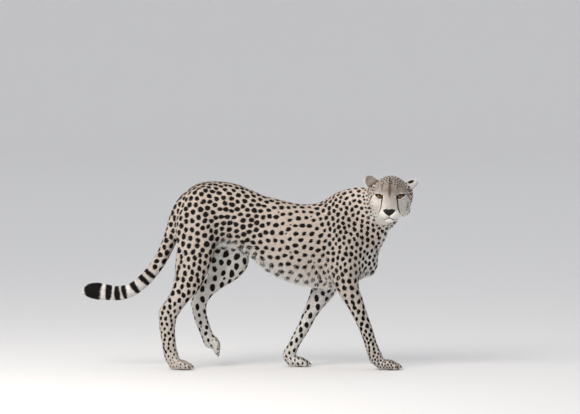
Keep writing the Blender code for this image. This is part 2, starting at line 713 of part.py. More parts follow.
def build():
    clear_scene()
    coat = surface("coat", (0.58, 0.47, 0.38), 0.85)
    iris = surface("eye", (0.30, 0.15, 0.04), 0.08)
    horn = surface("claw", (0.03, 0.025, 0.025), 0.40)

    torso = fused("torso", trunk_flesh() + neck_flesh() + leg_flesh(), 0.014, 22)
    skull = fused("skull", head_flesh(), 0.004, 6)
    hollow_orbits(skull)
    body = fused("body", [torso, skull] + tail_flesh() + ear_flesh() + all_paws())
    thinned(body, BODY_TRIANGLES)
    flatten_soles(body)

    for name, side in SIDES.items():
        boolean(body, eye_shape(f"socket_{name}", side, EYE_RADIUS + GAP))
        dress(eye_shape(f"eye_{name}", side, EYE_RADIUS), iris)
    for foot in FEET:
        for toe in range(len(TOES)):
            placed = claw_frame(foot, toe)
            boolean(body, claw_shape("claw_socket", placed, GAP))
            name = f"claw_{foot.replace('paw', '')}_{toe + 1}"
            dress(claw_shape(name, placed), horn)
    boolean(body, cutters())
    parted(body, coat)
    stand_at_origin()


if __name__ == "__main__":
    build()
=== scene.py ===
import heapq
import math
from contextlib import contextmanager
from itertools import pairwise, product

import bmesh
import bpy
import numpy as np
from mathutils import Matrix, Vector
from mathutils.bvhtree import BVHTree
from mathutils.kdtree import KDTree
from numpy.linalg import norm


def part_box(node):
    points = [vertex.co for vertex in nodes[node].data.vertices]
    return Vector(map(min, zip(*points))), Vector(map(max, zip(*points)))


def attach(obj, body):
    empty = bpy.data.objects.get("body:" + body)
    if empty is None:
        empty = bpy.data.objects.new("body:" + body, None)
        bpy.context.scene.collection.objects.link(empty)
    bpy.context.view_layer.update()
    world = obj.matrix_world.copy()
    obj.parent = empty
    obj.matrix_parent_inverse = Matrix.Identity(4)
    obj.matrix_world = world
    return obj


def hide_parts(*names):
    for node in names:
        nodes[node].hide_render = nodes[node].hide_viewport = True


# ------------ the body as it was carved
# The animal's flesh arrives as touching blocks, one for each part of the body, with eyes and claws apart.
# They are fused here into one closed surface, and each point keeps the name of the block it came from.

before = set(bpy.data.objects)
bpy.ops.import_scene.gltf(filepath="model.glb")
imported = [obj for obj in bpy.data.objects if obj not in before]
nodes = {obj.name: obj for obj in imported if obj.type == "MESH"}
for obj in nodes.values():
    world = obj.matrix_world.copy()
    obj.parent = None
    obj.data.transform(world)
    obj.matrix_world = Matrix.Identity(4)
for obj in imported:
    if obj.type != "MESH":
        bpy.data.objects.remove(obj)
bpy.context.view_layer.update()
FLESH = sorted(name for name in nodes if not name.startswith(("claw_", "eye_")))
BLOCKS = FLESH + ["eye_left", "eye_right"]
SKIN_GRAIN = 0.0062
TOUCHING = 0.0012
OVERLAP = 0.0004
HAIRLINE = 0.00002
rng = np.random.default_rng(20221)


def array_of(items, field, width, kind=float):
    """One field of a mesh's points, edges or faces, a row to each."""
    values = np.empty(len(items) * width, kind)
    items.foreach_get(field, values)
    return values.reshape(-1, width)


def placed(name, data):
    """Adds a mesh, light or camera to the scene."""
    made = bpy.data.objects.new(name, data)
    bpy.context.scene.collection.objects.link(made)
    return made


def mesh_object(name, points, faces):
    mesh = bpy.data.meshes.new(name)
    mesh.from_pydata([tuple(p) for p in points], [], [tuple(f) for f in faces])
    return placed(name, mesh)


@contextmanager
def editing(mesh):
    bm = bmesh.new()
    bm.from_mesh(mesh)
    yield bm
    bm.to_mesh(mesh)
    bm.free()


def tree_of_faces(faces):
    return BVHTree.FromPolygons([Vector(p) for p in carved_points], faces.tolist())


carved_points = []
carved_faces = []
carved_block = []
for number, name in enumerate(BLOCKS):
    mesh = nodes[name].data
    mesh.calc_loop_triangles()
    faces = array_of(mesh.loop_triangles, "vertices", 3, np.int32)
    carved_faces.append(faces + sum(len(p) for p in carved_points))
    carved_points.append(array_of(mesh.vertices, "co", 3))
    carved_block += [number] * len(faces)
carved_points = np.concatenate(carved_points)
carved_faces = np.concatenate(carved_faces)
carved = tree_of_faces(carved_faces)
skin = mesh_object("skin", carved_points, carved_faces)

# only the outward faces say where the coat ends, so those where two blocks meet are left out
outward_faces = []
for p, q, r in carved_points[carved_faces]:
    normal = Vector(q - p).cross(Vector(r - p)).normalized()
    met = carved.ray_cast(Vector((p + q + r) / 3) + normal * HAIRLINE, normal, TOUCHING)
    outward_faces.append(met[0] is None)
carved_outside = np.array(carved_block)[outward_faces]
carved = tree_of_faces(carved_faces[outward_faces])

with editing(skin.data) as bm:
    bmesh.ops.remove_doubles(bm, verts=bm.verts, dist=HAIRLINE)
    bm.normal_update()
    for v in bm.verts:
        v.co += v.normal * OVERLAP
remesh = skin.modifiers.new("fuse", "REMESH")
remesh.mode = "VOXEL"
remesh.voxel_size = SKIN_GRAIN
fused = bpy.data.meshes.new_from_object(skin.evaluated_get(bpy.context.evaluated_depsgraph_get()))
skin.modifiers.clear()
skin.data = fused

# ------------ head measures
# The head is turned to look out over the right shoulder, so its own axes come from the two eyes.
# ahead runs out of the nose, left to the animal's left ear, and up through the crown.

EYE_DROP = 0.004
up = np.array((0.0, 0.0, 1.0))


def middle_of(node_name):
    low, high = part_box(node_name)
    return np.array((low + high) / 2)


eye_centre = {side: middle_of(f"eye_{side}") for side in ("left", "right")}
EYE_RADIUS = (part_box("eye_left")[1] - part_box("eye_left")[0]).z / 2
between_eyes = (eye_centre["left"] + eye_centre["right"]) / 2
left = eye_centre["left"] - eye_centre["right"]
left[2] = 0
left /= norm(left)
ahead = np.cross(left, up)
head_axes = np.stack([ahead, left, up])
for centre in eye_centre.values():
    centre[2] -= EYE_DROP


def in_head(places):
    """Where places lie in mm ahead of, left of and above the point between the eyes."""
    return (places - between_eyes) @ head_axes.T * 1000


def out_of_head(places):
    return between_eyes + (places / 1000) @ head_axes


def ramp(low, high, x):
    """Passes smoothly from 0 where x is low to 1 where it is high."""
    t = np.clip((x - low) / (high - low), 0, 1)
    return t * t * (3 - 2 * t)


# ------------ skin, finer where the form is finer
# Living skin is finest over the face and paws, so its net is split once there, and once more round the
# eyes, nose and mouth. It is smoothed, most over the broad muscles, and drawn in by the coat's depth.


def skin_arrays():
    return array_of(skin.data.vertices, "co", 3), array_of(skin.data.edges, "vertices", 2, np.int32)


def skin_normals():
    skin.data.update()
    return array_of(skin.data.vertices, "normal", 3)


def place_skin(points):
    skin.data.vertices.foreach_set("co", points.ravel())
    skin.data.update()


def spread(values, edges, rounds, keep=0.5):
    """Averages each value with its neighbours', keep being how much of itself a point keeps."""
    count = len(values)
    a, b = edges.T
    degree = np.bincount(a, minlength=count) + np.bincount(b, minlength=count)
    flat = np.reshape(values, (count, -1)).astype(float)
    keep = np.reshape(keep, (-1, 1))
    for _ in range(rounds):
        sums = [np.bincount(a, row[b], count) + np.bincount(b, row[a], count) for row in flat.T]
        flat = keep * flat + (1 - keep) * np.stack(sums, axis=1) / np.maximum(degree, 1)[:, None]
    return flat.reshape(values.shape)


def nearest_block(points):
    """Which carved block each point belongs to, and how far it lies inside that block's surface."""
    found = np.empty(len(points), np.int32)
    inside = np.empty(len(points))
    for i, p in enumerate(points):
        place, normal, found[i], distance = carved.find_nearest(Vector(p))
        inside[i] = -math.copysign(distance, (Vector(p) - place).dot(normal))
    return carved_outside[found], inside


def split_where(chosen):
    """Splits every edge of the faces whose corners are all chosen, one cut to an edge."""
    edges = set()
    with editing(skin.data) as bm:
        for face in bm.faces:
            if all(chosen[v.index] for v in face.verts):
                edges.update(face.edges)
        bmesh.ops.subdivide_edges(bm, edges=list(edges), cuts=1, use_grid_fill=True)
        bmesh.ops.triangulate(bm, faces=[f for f in bm.faces if len(f.verts) > 4])


# the outer shell only, since hollows behind the eyes can leave small ones inside
with editing(skin.data) as bm:
    unseen = set(bm.verts)
    shells = []
    while unseen:
        shells.append([unseen.pop()])
        for vert in shells[-1]:
            others = {edge.other_vert(vert) for edge in vert.link_edges} & unseen
            unseen -= others
            shells[-1] += others
    for shell in sorted(shells, key=len)[:-1]:
        bmesh.ops.delete(bm, geom=shell, context="VERTS")

kinds = np.array([name.split("_")[0] for name in BLOCKS])
STAYS = dict(head=0.84, ear=0.86, eye=0.8, forepaw=0.86, hindpaw=0.86, tail=0.6, metatarsus=0.6)
keep_of_block = np.array([STAYS.get(kind, 0.5) for kind in kinds])
points, edges = skin_arrays()
block, inside = nearest_block(points)
points = spread(points, edges, 26, spread(keep_of_block[block], edges, 6))
place_skin(points)

is_fine = np.isin(kinds, ["head", "ear", "eye", "forepaw", "hindpaw"])
split_where(is_fine[block])
points, edges = skin_arrays()
h_ahead, h_left, h_up = in_head(points).T
split_where((h_ahead > -15) & (np.abs(h_left) < 74) & (np.abs(h_up + 43) < 80))

# how deep the coat lies over the skin, in mm
COAT_DEPTH = dict(head=3, ear=2, eye=1.2, forepaw=1.6, hindpaw=1.6, trunk=5, neck=5.5, tail=5.5)
COAT_DEPTH.update(thigh=4.2, shank=3.4, foreleg=3.4, metatarsus=2.4)
MUZZLE_DEPTH = 1.2
SOLE_DEPTH = 0.1
SOLE_HEIGHT = 0.006
JUST_CLEAR = 0.0002
points, edges = skin_arrays()
block, inside = nearest_block(points)
depth = np.array([COAT_DEPTH[kind] for kind in kinds])[block]
muzzle = ramp(115, 60, norm(in_head(points) - (70, 0, -75), axis=1))
depth = depth * (1 - muzzle) + MUZZLE_DEPTH * muzzle
depth = spread(np.where(points[:, 2] < SOLE_HEIGHT, SOLE_DEPTH, depth), edges, 8) / 1000
is_fine_point = spread(is_fine[block], edges, 3)
for rounds in (14, 6):
    points = spread(points, edges, rounds, 1 - 0.5 * is_fine_point)
    place_skin(points)
    block, inside = nearest_block(points)
    shift = spread(np.clip(inside - depth, -0.004, 0.008), edges, 30)
    points += skin_normals() * shift[:, None]
points[:, 2] = np.maximum(points[:, 2], JUST_CLEAR)
place_skin(points)

# ------------ muscle and bone
# A lean runner's skin shows what lies under it: the shoulder blade and the muscle behind the upper arm, the
# last ribs, the hip bone, the hollow flank, and the cords of the thigh, calf and forearm.

points, edges = skin_arrays()
normals = skin_normals()
MIDLINE = 0.066
is_right = points[:, 1] < MIDLINE
outward_of_side = np.where(is_right, -normals[:, 1], normals[:, 1])

# place along and up the body, half widths across and along the form, lean in degrees, height; all in mm
BOTH_SIDES = [(410, 475, 36, 85, 10, 2.6), (352, 500, 13, 100, 5, -5), (395, 665, 40, 70, -15, 2.2)]
BOTH_SIDES += [(452, 660, 14, 70, -25, -3.5), (485, 535, 32, 35, 0, 2.4), (-195, 735, 32, 18, 20, 2.6)]
BOTH_SIDES += [(-85, 600, 45, 60, 0, -5)] + [(45 + 44 * rib, 530, 9.5, 70, -14, 1.3) for rib in range(7)]
RIGHT_SIDE = [(-145, 560, 14, 90, -5, -4.5), (-205, 520, 42, 90, 0, 2.6), (-280, 490, 12, 90, -12, -3.5)]
RIGHT_SIDE += [(-178, 425, 24, 24, 0, 2.4), (-285, 355, 22, 50, 30, 2), (-338, 265, 9, 42, 25, -3.5)]
RIGHT_SIDE += [(455, 290, 20, 70, 20, 2), (482, 260, 8, 80, 22, -2.2)]
LEFT_SIDE = [(-70, 500, 45, 80, -10, 2.6), (-150, 460, 12, 80, -25, -3.5), (-35, 400, 24, 24, 0, 2.4)]
LEFT_SIDE += [(-170, 320, 22, 45, 40, 2), (270, 280, 20, 70, -24, 2), (290, 240, 8, 80, -26, -2.2)]
for forms, sides in ((BOTH_SIDES, (True, False)), (RIGHT_SIDE, (True,)), (LEFT_SIDE, (False,))):
    for along_body, up_body, wide, tall, lean, amount in forms:
        x, _, z = (points * 1000 - (along_body, 0, up_body)).T
        turned = math.radians(lean)
        x, z = x * math.cos(turned) + z * math.sin(turned), z * math.cos(turned) - x * math.sin(turned)
        raised_by = amount / 1000 * np.exp(-((x / wide) ** 2) - (z / tall) ** 2)
        raised_by *= ramp(0, 0.5, outward_of_side) * np.isin(is_right, sides)
        points += normals * raised_by[:, None]
chest = ramp(0.4, 0.46, points[:, 0]) * ramp(0.3, 0.36, points[:, 2])
chest *= ramp(0.6, 0.54, points[:, 2])
points = spread(points, edges, 90, 1 - 0.5 * chest)
place_skin(points)

# ------------ sculpting the head
# The muzzle is short, with two full pads over a small chin, and the broad nose stands at its front. The
# brow shades large eyes, whose lids wrap the eyeballs closely. All strokes are laid in the head's own axes.

points, edges = skin_arrays()
H = in_head(points)
N = skin_normals() @ head_axes.T
on_head = spread(np.isin(kinds[block], ["head", "eye", "ear"]), edges, 3)


def swell(centre, radii, amount):
    """Raises, or sinks, the skin round a place, in mm, fading out at the three radii."""
    d = ((H - centre) / radii) ** 2
    H[:] = H + N * (amount * np.exp(-d.sum(axis=1)) * on_head)[:, None]


def fill(centre, radii):
    """Pushes the skin out to an egg, wherever it lies inside it."""
    d = (H - centre) / radii
    q = np.maximum(norm(d, axis=1), 0.25)
    H[:] = np.where(((q < 1) & (on_head > 0.5))[:, None], centre + d / q[:, None] * radii, H)


def laid_on(places, path, steps):
    """The skin's own places that lie nearest to a path, at so many steps along each of its stretches."""
    laid = []
    for (p, q), count in zip(pairwise(path), steps):
        for t in np.arange(count) / count:
            laid.append(places[np.argmin(((places - (p + t * (q - p))) ** 2).sum(axis=1))])
    return np.array(laid)


def from_line(places, line, widths=None):
    """Distance of places from a line, less its half width there, and how many stretches along that is."""
    nearest = np.full(len(places), 1e9)
    where = np.zeros(len(places))
    for n, (p, q) in enumerate(pairwise(line)):
        t = np.clip(((places - p) @ (q - p)) / max((q - p) @ (q - p), 1e-9), 0, 1)
        gap = norm(places - (p + t[:, None] * (q - p)), axis=1)
        if widths:
            gap -= widths[n] + t * (widths[n + 1] - widths[n])
        where = np.where(gap < nearest, n + t, where)
        nearest = np.minimum(nearest, gap)
    return nearest, where


def crease(path, width, amount):
    """Draws a groove, or a ridge if amount is positive, along a line that is laid on to the skin, in mm."""
    path = np.array([*path, path[-1]], float)
    steps = [max(2, int(norm(q - p))) for p, q in pairwise(path[:-1])]
    laid = laid_on(H, path, steps + [1])
    laid[1:-1] = (laid[:-2] + laid[1:-1] + laid[2:]) / 3
    close = np.abs(H - laid.mean(axis=0)).max(axis=1) < 75
    nearest = np.full(len(H), 1e9)
    nearest[close] = from_line(H[close], laid)[0]
    H[:] = H + N * (amount * np.exp(-((nearest / width) ** 2)) * on_head)[:, None]


def both(stroke, at, *sizes):
    """Makes a stroke on each side of the head."""
    stroke(at, *sizes)
    stroke(np.array(at) * (1, -1, 1), *sizes)


def refresh_normals():
    place_skin(out_of_head(H))
    N[:] = skin_normals() @ head_axes.T


def soften(where, rounds):
    H[:] = spread(H, edges, rounds, 1 - 0.5 * where * on_head)


def socket(name):
    """Places relative to one eyeball's centre: forward, outward and up, in mm."""
    forward, outward, above = (H - in_head(eye_centre[name])).T
    return forward, outward * (1 if name == "left" else -1), above


# the carved sockets are closed over first, so that the lids start from an even brow and cheek
over_eyes = np.zeros(len(H))
for name in eye_centre:
    forward, outward, above = socket(name)
    round_eye = np.sqrt((outward + 2) ** 2 + above ** 2)
    over_eyes = np.maximum(over_eyes, ramp(29, 22, round_eye) * (forward > -14))
soften(over_eyes, 120)
refresh_normals()

MOUTH = [(76, 0, -91), (74, 8, -94), (70, 20, -99), (60, 33, -98), (46, 41, -93), (30, 46, -88)]
both(crease, MOUTH, 6, -3.5)
fill((52, 0, -101), (17, 20, 12))
both(fill, (50, 19, -79), (26, 22, 17))
both(swell, (30, 34, -74), (26, 18, 16), 4)
fill((64, 0, -62), (15.5, 23, 12.5))
soften(ramp(95, 70, norm(H - (55, 0, -80), axis=1)), 9)
refresh_normals()
both(swell, (16, 30, 20), (20, 14, 9), 3)
both(swell, (0, 50, 17), (16, 14, 6), 2)
both(swell, (2, 56, -32), (22, 18, 12), 2.5)
from_patch = np.column_stack([H[:, 0], np.abs(H[:, 1]), H[:, 2]]) - (30, 37, -42)
beside_nose = norm(from_patch / (34, 14, 22), axis=1)
soften(ramp(1, 0.5, beside_nose), 130)
both(swell, (12, 42, -20), (10, 16, 5), -1.2)
both(swell, (-12, 76, -78), (26, 12, 15), -5)
refresh_normals()
crease([(80, 0, -77), (78, 0, -84), (76, 0, -92)], 1.5, -2.6)
both(crease, MOUTH, 1.7, -2.6)
both(crease, [(76, 9, -68), (74, 15, -66), (70, 20, -70)], 1.9, -4)
both(crease, [(78, 24, -56), (78, 18, -66), (79, 9, -76)], 1.3, -0.9)


def almond(x, y):
    """Signed distance from an eye's opening, x outward and y up from the eyeball's centre, in mm."""
    t = np.clip((x + 10.8) / 23.6, 0, 1)
    top = -4 + 7.7 * np.sin(np.pi / 2 * np.minimum(t / 0.35, 1)) - 0.8 * t
    bottom = -4 - 4.1 * np.sin(np.pi * t) * (1 - t) ** 0.3 + 6.9 * t ** 2.4
    sides = np.maximum(-10.8 - x, x - 12.8)
    heights = np.maximum(y - top, bottom - y)
    outside = np.hypot(np.maximum(sides, 0), np.maximum(heights, 0))
    return np.where(outside > 0, outside, np.maximum(sides, heights))


BALL = EYE_RADIUS * 1000
for name in eye_centre:
    forward, outward, above = socket(name)
    near = (forward > -12) * on_head
    gap = almond(outward, above)
    slope_x = (almond(outward + 0.2, above) - almond(outward - 0.2, above)) / 0.4
    slope_y = (almond(outward, above + 0.2) - almond(outward, above - 0.2)) / 0.4
    snap = ramp(1.5, 0.7, np.abs(gap)) * near
    H[:, 1] -= gap * slope_x * snap * (1 if name == "left" else -1)
    H[:, 2] -= gap * slope_y * snap
    forward, outward, above = socket(name)
    gap = almond(outward, above)
    lid = 2.4 * ramp(0, 2.6, gap) + 0.2
    lid = np.where(gap < 0, -3 * ramp(0, -1.4, gap) + 0.2, lid)
    wrapped = np.sqrt(np.maximum((BALL + lid) ** 2 - outward ** 2 - above ** 2, 0))
    over = 0.5 * (forward + wrapped + np.sqrt((forward - wrapped) ** 2 + 9))
    set_at = wrapped + (over - wrapped) * ramp(0.6, 5, gap)
    H[:, 0] += (np.where(wrapped > 0, set_at, forward) - forward) * near * ramp(14, 8, gap)
    fold = np.exp(-((gap - 4.6) / 1.2) ** 2) * ramp(-1, 3, above - 0.3 * outward)
    H -= N * (fold * near)[:, None]

# ------------ ears
# A cheetah's ears are short, thin, rounded cups set low on the sides of the crown. The carved blocks are
# solid pads, so each is hollowed here from its open face, leaving a thin wall and a rim at its edge.

EAR_SET = {
    "right": ((-0.15, -0.58, 0.8), (0.95, -0.28, 0.1), 33, 36),
    "left": ((-0.2, 0.79, 0.58), (-0.8, 0.25, -0.5), 28, 32),
}
EAR_HOLLOW = 8.5
ear_axes = {}
in_ear = {}
soften(spread(kinds[block] == "ear", edges, 4), 12)
refresh_normals()
for name, (tip, opening, half_width, half_height) in EAR_SET.items():
    middle = in_head(middle_of(f"ear_{name}"))
    tip = np.array(tip) / norm(tip)
    opening = np.array(opening) - tip * (np.array(opening) @ tip)
    opening /= norm(opening)
    across = np.cross(tip, opening)
    ear_axes[name] = (middle, opening, across, tip)
    place = H - middle
    y = place @ across / half_width
    z = (place @ tip + 3) / half_height
    bowl = np.clip(1 - y * y - z * z, 0, 1)
    facing = ramp(0, 0.45, N @ opening)
    reach = np.abs(place @ opening) < 22
    in_ear[name] = bowl * facing * reach * (norm(place, axis=1) < 48)
    H -= opening * (EAR_HOLLOW * np.sqrt(in_ear[name]) * on_head)[:, None]
points = out_of_head(H)
place_skin(points)
normals = skin_normals()

# ------------ paws
# Four toes stand side by side on each foot, a claw at the end of each, with clefts between them that run
# from under the foot up over its front.

CLEFT_DEPTH = 0.003
CLEFT_WIDTH = 2.6
toe_gap = np.full(len(points), 1e3)
for foot in ("fore_left", "fore_right", "hind_left", "hind_right"):
    claws = [middle_of(f"claw_{foot}_{toe}") for toe in range(1, 5)]
    end, side = foot.split("_")
    back = middle_of(f"{end}paw_{side}") - np.mean(claws, axis=0)
    back[2] = max(back[2], 0)
    back /= norm(back)
    for one, other in pairwise(claws):
        gap = (one + other) / 2
        path = np.array([gap - up * 0.01, gap + back * 0.01 + up * 0.006, gap + back * 0.034 + up * 0.016])
        toe_gap = np.minimum(toe_gap, from_line(points, laid_on(points, path, (10, 10)))[0] * 1000)
cleft = np.exp(-((toe_gap / CLEFT_WIDTH) ** 2))
points -= normals * (CLEFT_DEPTH * cleft)[:, None]
points[:, 2] = np.maximum(points[:, 2], JUST_CLEAR)
H = in_head(points)
place_skin(points)
normals = skin_normals()

# ------------ lie of the coat
# Hair grows away from the nose: back over the crown, along the back to the tail, and down each leg. The
# way it lies at each place is the way the distance from the nose over the skin grows fastest.

neighbours = [[] for _ in points]
for polygon in skin.data.polygons:
    ring = polygon.vertices
    for i in ring:
        for j in ring:
            if i < j:
                length = math.dist(points[i], points[j])
                neighbours[i].append((j, length))
                neighbours[j].append((i, length))
nose_tip = int(np.argmax(H[:, 0]))
from_nose = np.full(len(points), 1e9)
from_nose[nose_tip] = 0
front = [(0, nose_tip)]
while front:
    far, i = heapq.heappop(front)
    if far > from_nose[i]:
        continue
    for j, length in neighbours[i]:
        if far + length < from_nose[j]:
            from_nose[j] = far + length
            heapq.heappush(front, (far + length, j))
from_nose = spread(from_nose, edges, 6)


def unit(vectors):
    return vectors / np.maximum(norm(vectors, axis=1), 1e-9)[:, None]


def along_skin(vectors, normals):
    return unit(vectors - normals * (vectors * normals).sum(axis=1)[:, None])


step = points[edges[:, 1]] - points[edges[:, 0]]
rise = (from_nose[edges[:, 1]] - from_nose[edges[:, 0]]) / np.maximum((step ** 2).sum(axis=1), 1e-10)
lie = np.zeros_like(points)
for corner in (0, 1):
    for i in range(3):
        lie[:, i] += np.bincount(edges[:, corner], rise * step[:, i], len(points))
lie = along_skin(lie, normals)
for _ in range(3):
    lie = along_skin(spread(lie, edges, 8), normals)

# ------------ spots
# A cheetah's spots are tufts of black hair, solid and evenly strewn: round on the flank, small on the neck
# and shoulder, upright ovals on the thigh and leg. Here they are strewn at random, then settle evenly.

kind = kinds[block]
X, Y, Z = points.T
inward = np.where(is_right, normals[:, 1], -normals[:, 1])
facing_up = normals[:, 2]
h_ahead, h_left, h_up = H.T
weight = {part: spread(kind == part, edges, 10) for part in sorted(set(kind))}
trunk, neck, thigh, head, tail, ear = (weight[part] for part in "trunk neck thigh head tail ear".split())
leg = sum(weight[part] for part in ("foreleg", "shank", "metatarsus", "forepaw", "hindpaw"))
legs = np.clip(leg, 0, 1)
limbs = np.clip(leg + thigh, 0, 1)
face = np.clip(head + weight["eye"], 0, 1)

# height is 0 along the belly and 1 along the back
COLUMN = 0.05
COLUMNS = 23
RUMP = -0.45
column_at = RUMP + COLUMN * (np.arange(COLUMNS) + 0.5)
column = np.clip(((X - RUMP) / COLUMN).astype(int), 0, COLUMNS - 1)
in_column = [(kind == "trunk") & (column == c) for c in range(COLUMNS)]
low_line = np.array([Z[mine].min(initial=1) for mine in in_column])
high_line = np.array([Z[mine].max(initial=0) for mine in in_column])
seen = high_line > low_line
belly_at = np.interp(X, column_at[seen], low_line[seen])
back_at = np.interp(X, column_at[seen], high_line[seen])
height = np.clip((Z - belly_at) / np.maximum(back_at - belly_at, 0.05), 0, 1)


def by_part(**values):
    """A value for every point, passing smoothly from one part of the body to the next."""
    return sum(weight[part] * values[part] for part in weight)


spot_radius = by_part(
    trunk=10.7, thigh=10.2, neck=9, foreleg=9.8, shank=10.6, metatarsus=6.6,
    forepaw=4.4, hindpaw=3.6, tail=11.6, head=4.4, ear=2, eye=2,
)
spot_spacing = by_part(
    trunk=29, thigh=25.5, neck=26.5, foreleg=26, shank=31, metatarsus=19.5,
    forepaw=14.5, hindpaw=18, tail=34, head=13, ear=30, eye=30,
)
shoulder = ramp(0.24, 0.34, X) * trunk
spine = ramp(0.86, 0.97, height) * trunk
haunch = ramp(-0.12, -0.26, X) * trunk
rear_flank = ramp(0.14, 0.02, X) * trunk
mid_flank = ramp(0, 0.12, X) * ramp(0.34, 0.26, X) * trunk
low_flank = ramp(0.32, 0.1, height) * trunk
low_leg = ramp(0.24, 0.12, Z) * weight["foreleg"] + ramp(0.32, 0.22, Z) * weight["shank"]
on_crown = head * ramp(50, 64, h_up)
behind_cheek = head * ramp(-30, -60, h_ahead)
inner_limb = ramp(0.35, 0.8, inward) * limbs
spot_radius *= 1 - 0.3 * (head - on_crown) + 0.55 * behind_cheek + 0.05 * rear_flank
for mask, wider, sparser in (
    (shoulder, -0.19, -0.19), (spine, -0.18, -0.18), (low_leg, -0.28, -0.28), (haunch, -0.06, -0.06),
    (shoulder, 0.02, 0.05), (spine, 0.14, 0), (haunch, 0.05, 0), (behind_cheek, 0, 0.35),
    (mid_flank, -0.06, 0.14), (low_flank, 0.14, 0.2), (inner_limb, 0.25, 0.6),
):
    spot_radius *= 1 + wider * mask
    spot_spacing *= 1 + sparser * mask
longer = 1.12 + 0.3 * legs + 0.28 * thigh + 0.1 * neck + 0.14 * shoulder + 0.7 * on_crown
upright = np.clip(leg + thigh + shoulder + haunch, 0, 1)[:, None]
downward = along_skin(np.tile(-up, (len(points), 1)), normals)
spot_axis = along_skin(upright * downward + (1 - upright) * lie, normals)

# spots keep off the face's plain parts, the ears, the soles and the ringed end of the tail
TAIL_LINE = [(-706, 311), (-655, 323), (-613, 318), (-559, 313), (-504, 325), (-454, 360), (-407, 410)]
RINGED_LENGTH = 345
tail_line = np.array(TAIL_LINE + [(-370, 470), (-345, 540)])
walked = np.cumsum([0, *norm(np.diff(tail_line, axis=0), axis=1)])
from_tip = np.interp(from_line(points[:, [0, 2]] * 1000, tail_line)[1], np.arange(len(walked)), walked)
ringed = (tail > 0.5) & (from_tip < RINGED_LENGTH)
bare_face = ramp(84, 76, np.hypot(h_left, h_up + 38)) * ramp(66, 56, h_up)
bare_face *= ramp(70, 60, np.hypot(h_left, h_up - 4) * (h_up > 0))
bare_face = np.maximum(bare_face, ramp(-58, -66, h_up) * ramp(64, 54, np.abs(h_left)))
bare_face *= (h_ahead > -45 - 20 * ramp(-70, -90, h_up)) * face
spotless = (bare_face > 0.4) | ((trunk > 0.5) & (facing_up < -0.88)) | (ear > 0.35) | (Z < 0.008) | ringed

CELL = 0.03
strewn = []
near_cells = {}
CROWDING = 0.388


def put_spot(place, radius, i):
    near_cells.setdefault(tuple((place // CELL).astype(int)), []).append((place, radius, spot_spacing[i]))
    strewn.append((place, radius, i))


def strew(candidates, size, chance):
    """Throws spots on to the skin: whole ones at the wanted distance, then small ones into the gaps."""
    for i in candidates:
        if spotless[i] or rng.random() > chance:
            continue
        radius = spot_radius[i] * size * rng.uniform(0.88, 1.12)
        crowded = False
        for cell in product(*((c - 1, c, c + 1) for c in (points[i] // CELL).astype(int))):
            for place, other, spacing in near_cells.get(cell, ()):
                wanted = CROWDING * (spot_spacing[i] + spacing) if size == 1 else radius + other * 1.1 + 4
                crowded |= math.dist(points[i], place) * 1000 < wanted
        if not crowded:
            put_spot(points[i], radius, i)


def tree_of(places):
    tree = KDTree(len(places))
    for number, place in enumerate(places):
        tree.insert(place, number)
    tree.balance()
    return tree


# the whole spots settle, each moving to the middle of the skin that lies nearest to it
strew(rng.permutation(len(points)), 1, 1)
skin_tree = BVHTree.FromObject(skin, bpy.context.evaluated_depsgraph_get())
point_tree = tree_of(points)
degree = np.bincount(edges.ravel(), minlength=len(points))
net = np.bincount(edges.ravel(), np.repeat(norm(step, axis=1), 2), len(points)) / degree
cover = (net * 1000 / spot_spacing) ** 2 * ~spotless
settled = np.array([place for place, radius, i in strewn])
for _ in range(4):
    nearest_spot = tree_of(settled)
    owner = np.array([nearest_spot.find(p)[1] for p in points])
    total = np.bincount(owner, cover, len(settled)) + 1e-9
    middles = np.stack([np.bincount(owner, cover * row, len(settled)) / total for row in points.T], axis=1)
    middles = np.where(total[:, None] > 1e-6, middles, settled)
    settled = np.array([skin_tree.find_nearest(place)[0] for place in middles])
nearest_spot = tree_of(settled)
strewn.clear()
near_cells.clear()
for place in settled:
    i = point_tree.find(place)[1]
    apart = nearest_spot.find_n(place, 2)[1][2] * 1000
    put_spot(place, min(spot_radius[i] * rng.uniform(0.86, 1.15), 0.49 * apart / longer[i] ** 0.25 - 0.6), i)
strew(rng.permutation(len(points)), 0.45, 0.05)
spot_place, spot_r, spot_at = (np.array(column) for column in zip(*strewn))
turn = rng.normal(0, 0.22, len(strewn))[:, None]
first = spot_axis[spot_at]
second = np.cross(normals[spot_at], first)
first, second = first * np.cos(turn) + second * np.sin(turn), second * np.cos(turn) - first * np.sin(turn)
stretch = np.sqrt(longer[spot_at] * rng.uniform(0.94, 1.14, len(strewn)))
wobble = rng.uniform(0, 2 * math.pi, (len(strewn), 2))
spot_tree = tree_of(spot_place)
UNMARKED = 9.0


def ink_of_spots(places, bare):
    """Distance in mm outside the edge of the nearest spot, where the skin isn't bare of them."""
    near_spots = np.array([[hit[1] for hit in spot_tree.find_n(p, 4)] for p in places])
    ink = np.full(len(places), UNMARKED)
    for s in near_spots.T:
        away = (places - spot_place[s]) * 1000
        x = (away * first[s]).sum(axis=1) / (spot_r[s] * stretch[s])
        y = (away * second[s]).sum(axis=1) / (spot_r[s] / stretch[s])
        z = (away * normals[spot_at[s]]).sum(axis=1) / (spot_r[s] * 2.2)
        angle = np.arctan2(y, x)
        ragged = 1 + 0.06 * np.sin(2 * angle + wobble[s, 0]) + 0.04 * np.sin(3 * angle + wobble[s, 1])
        ink = np.minimum(ink, (np.sqrt(x * x + y * y + z * z) * ragged - 1) * spot_r[s])
    return np.where(bare, UNMARKED, ink)


# ------------ rings, face lines and ear bars
# Black rings and a wide black end close the tail, with a pale tip. A black tear line runs from each eye to
# the mouth, lid rims, lips and nose are bare black skin, and the back of each ear has a black bar.

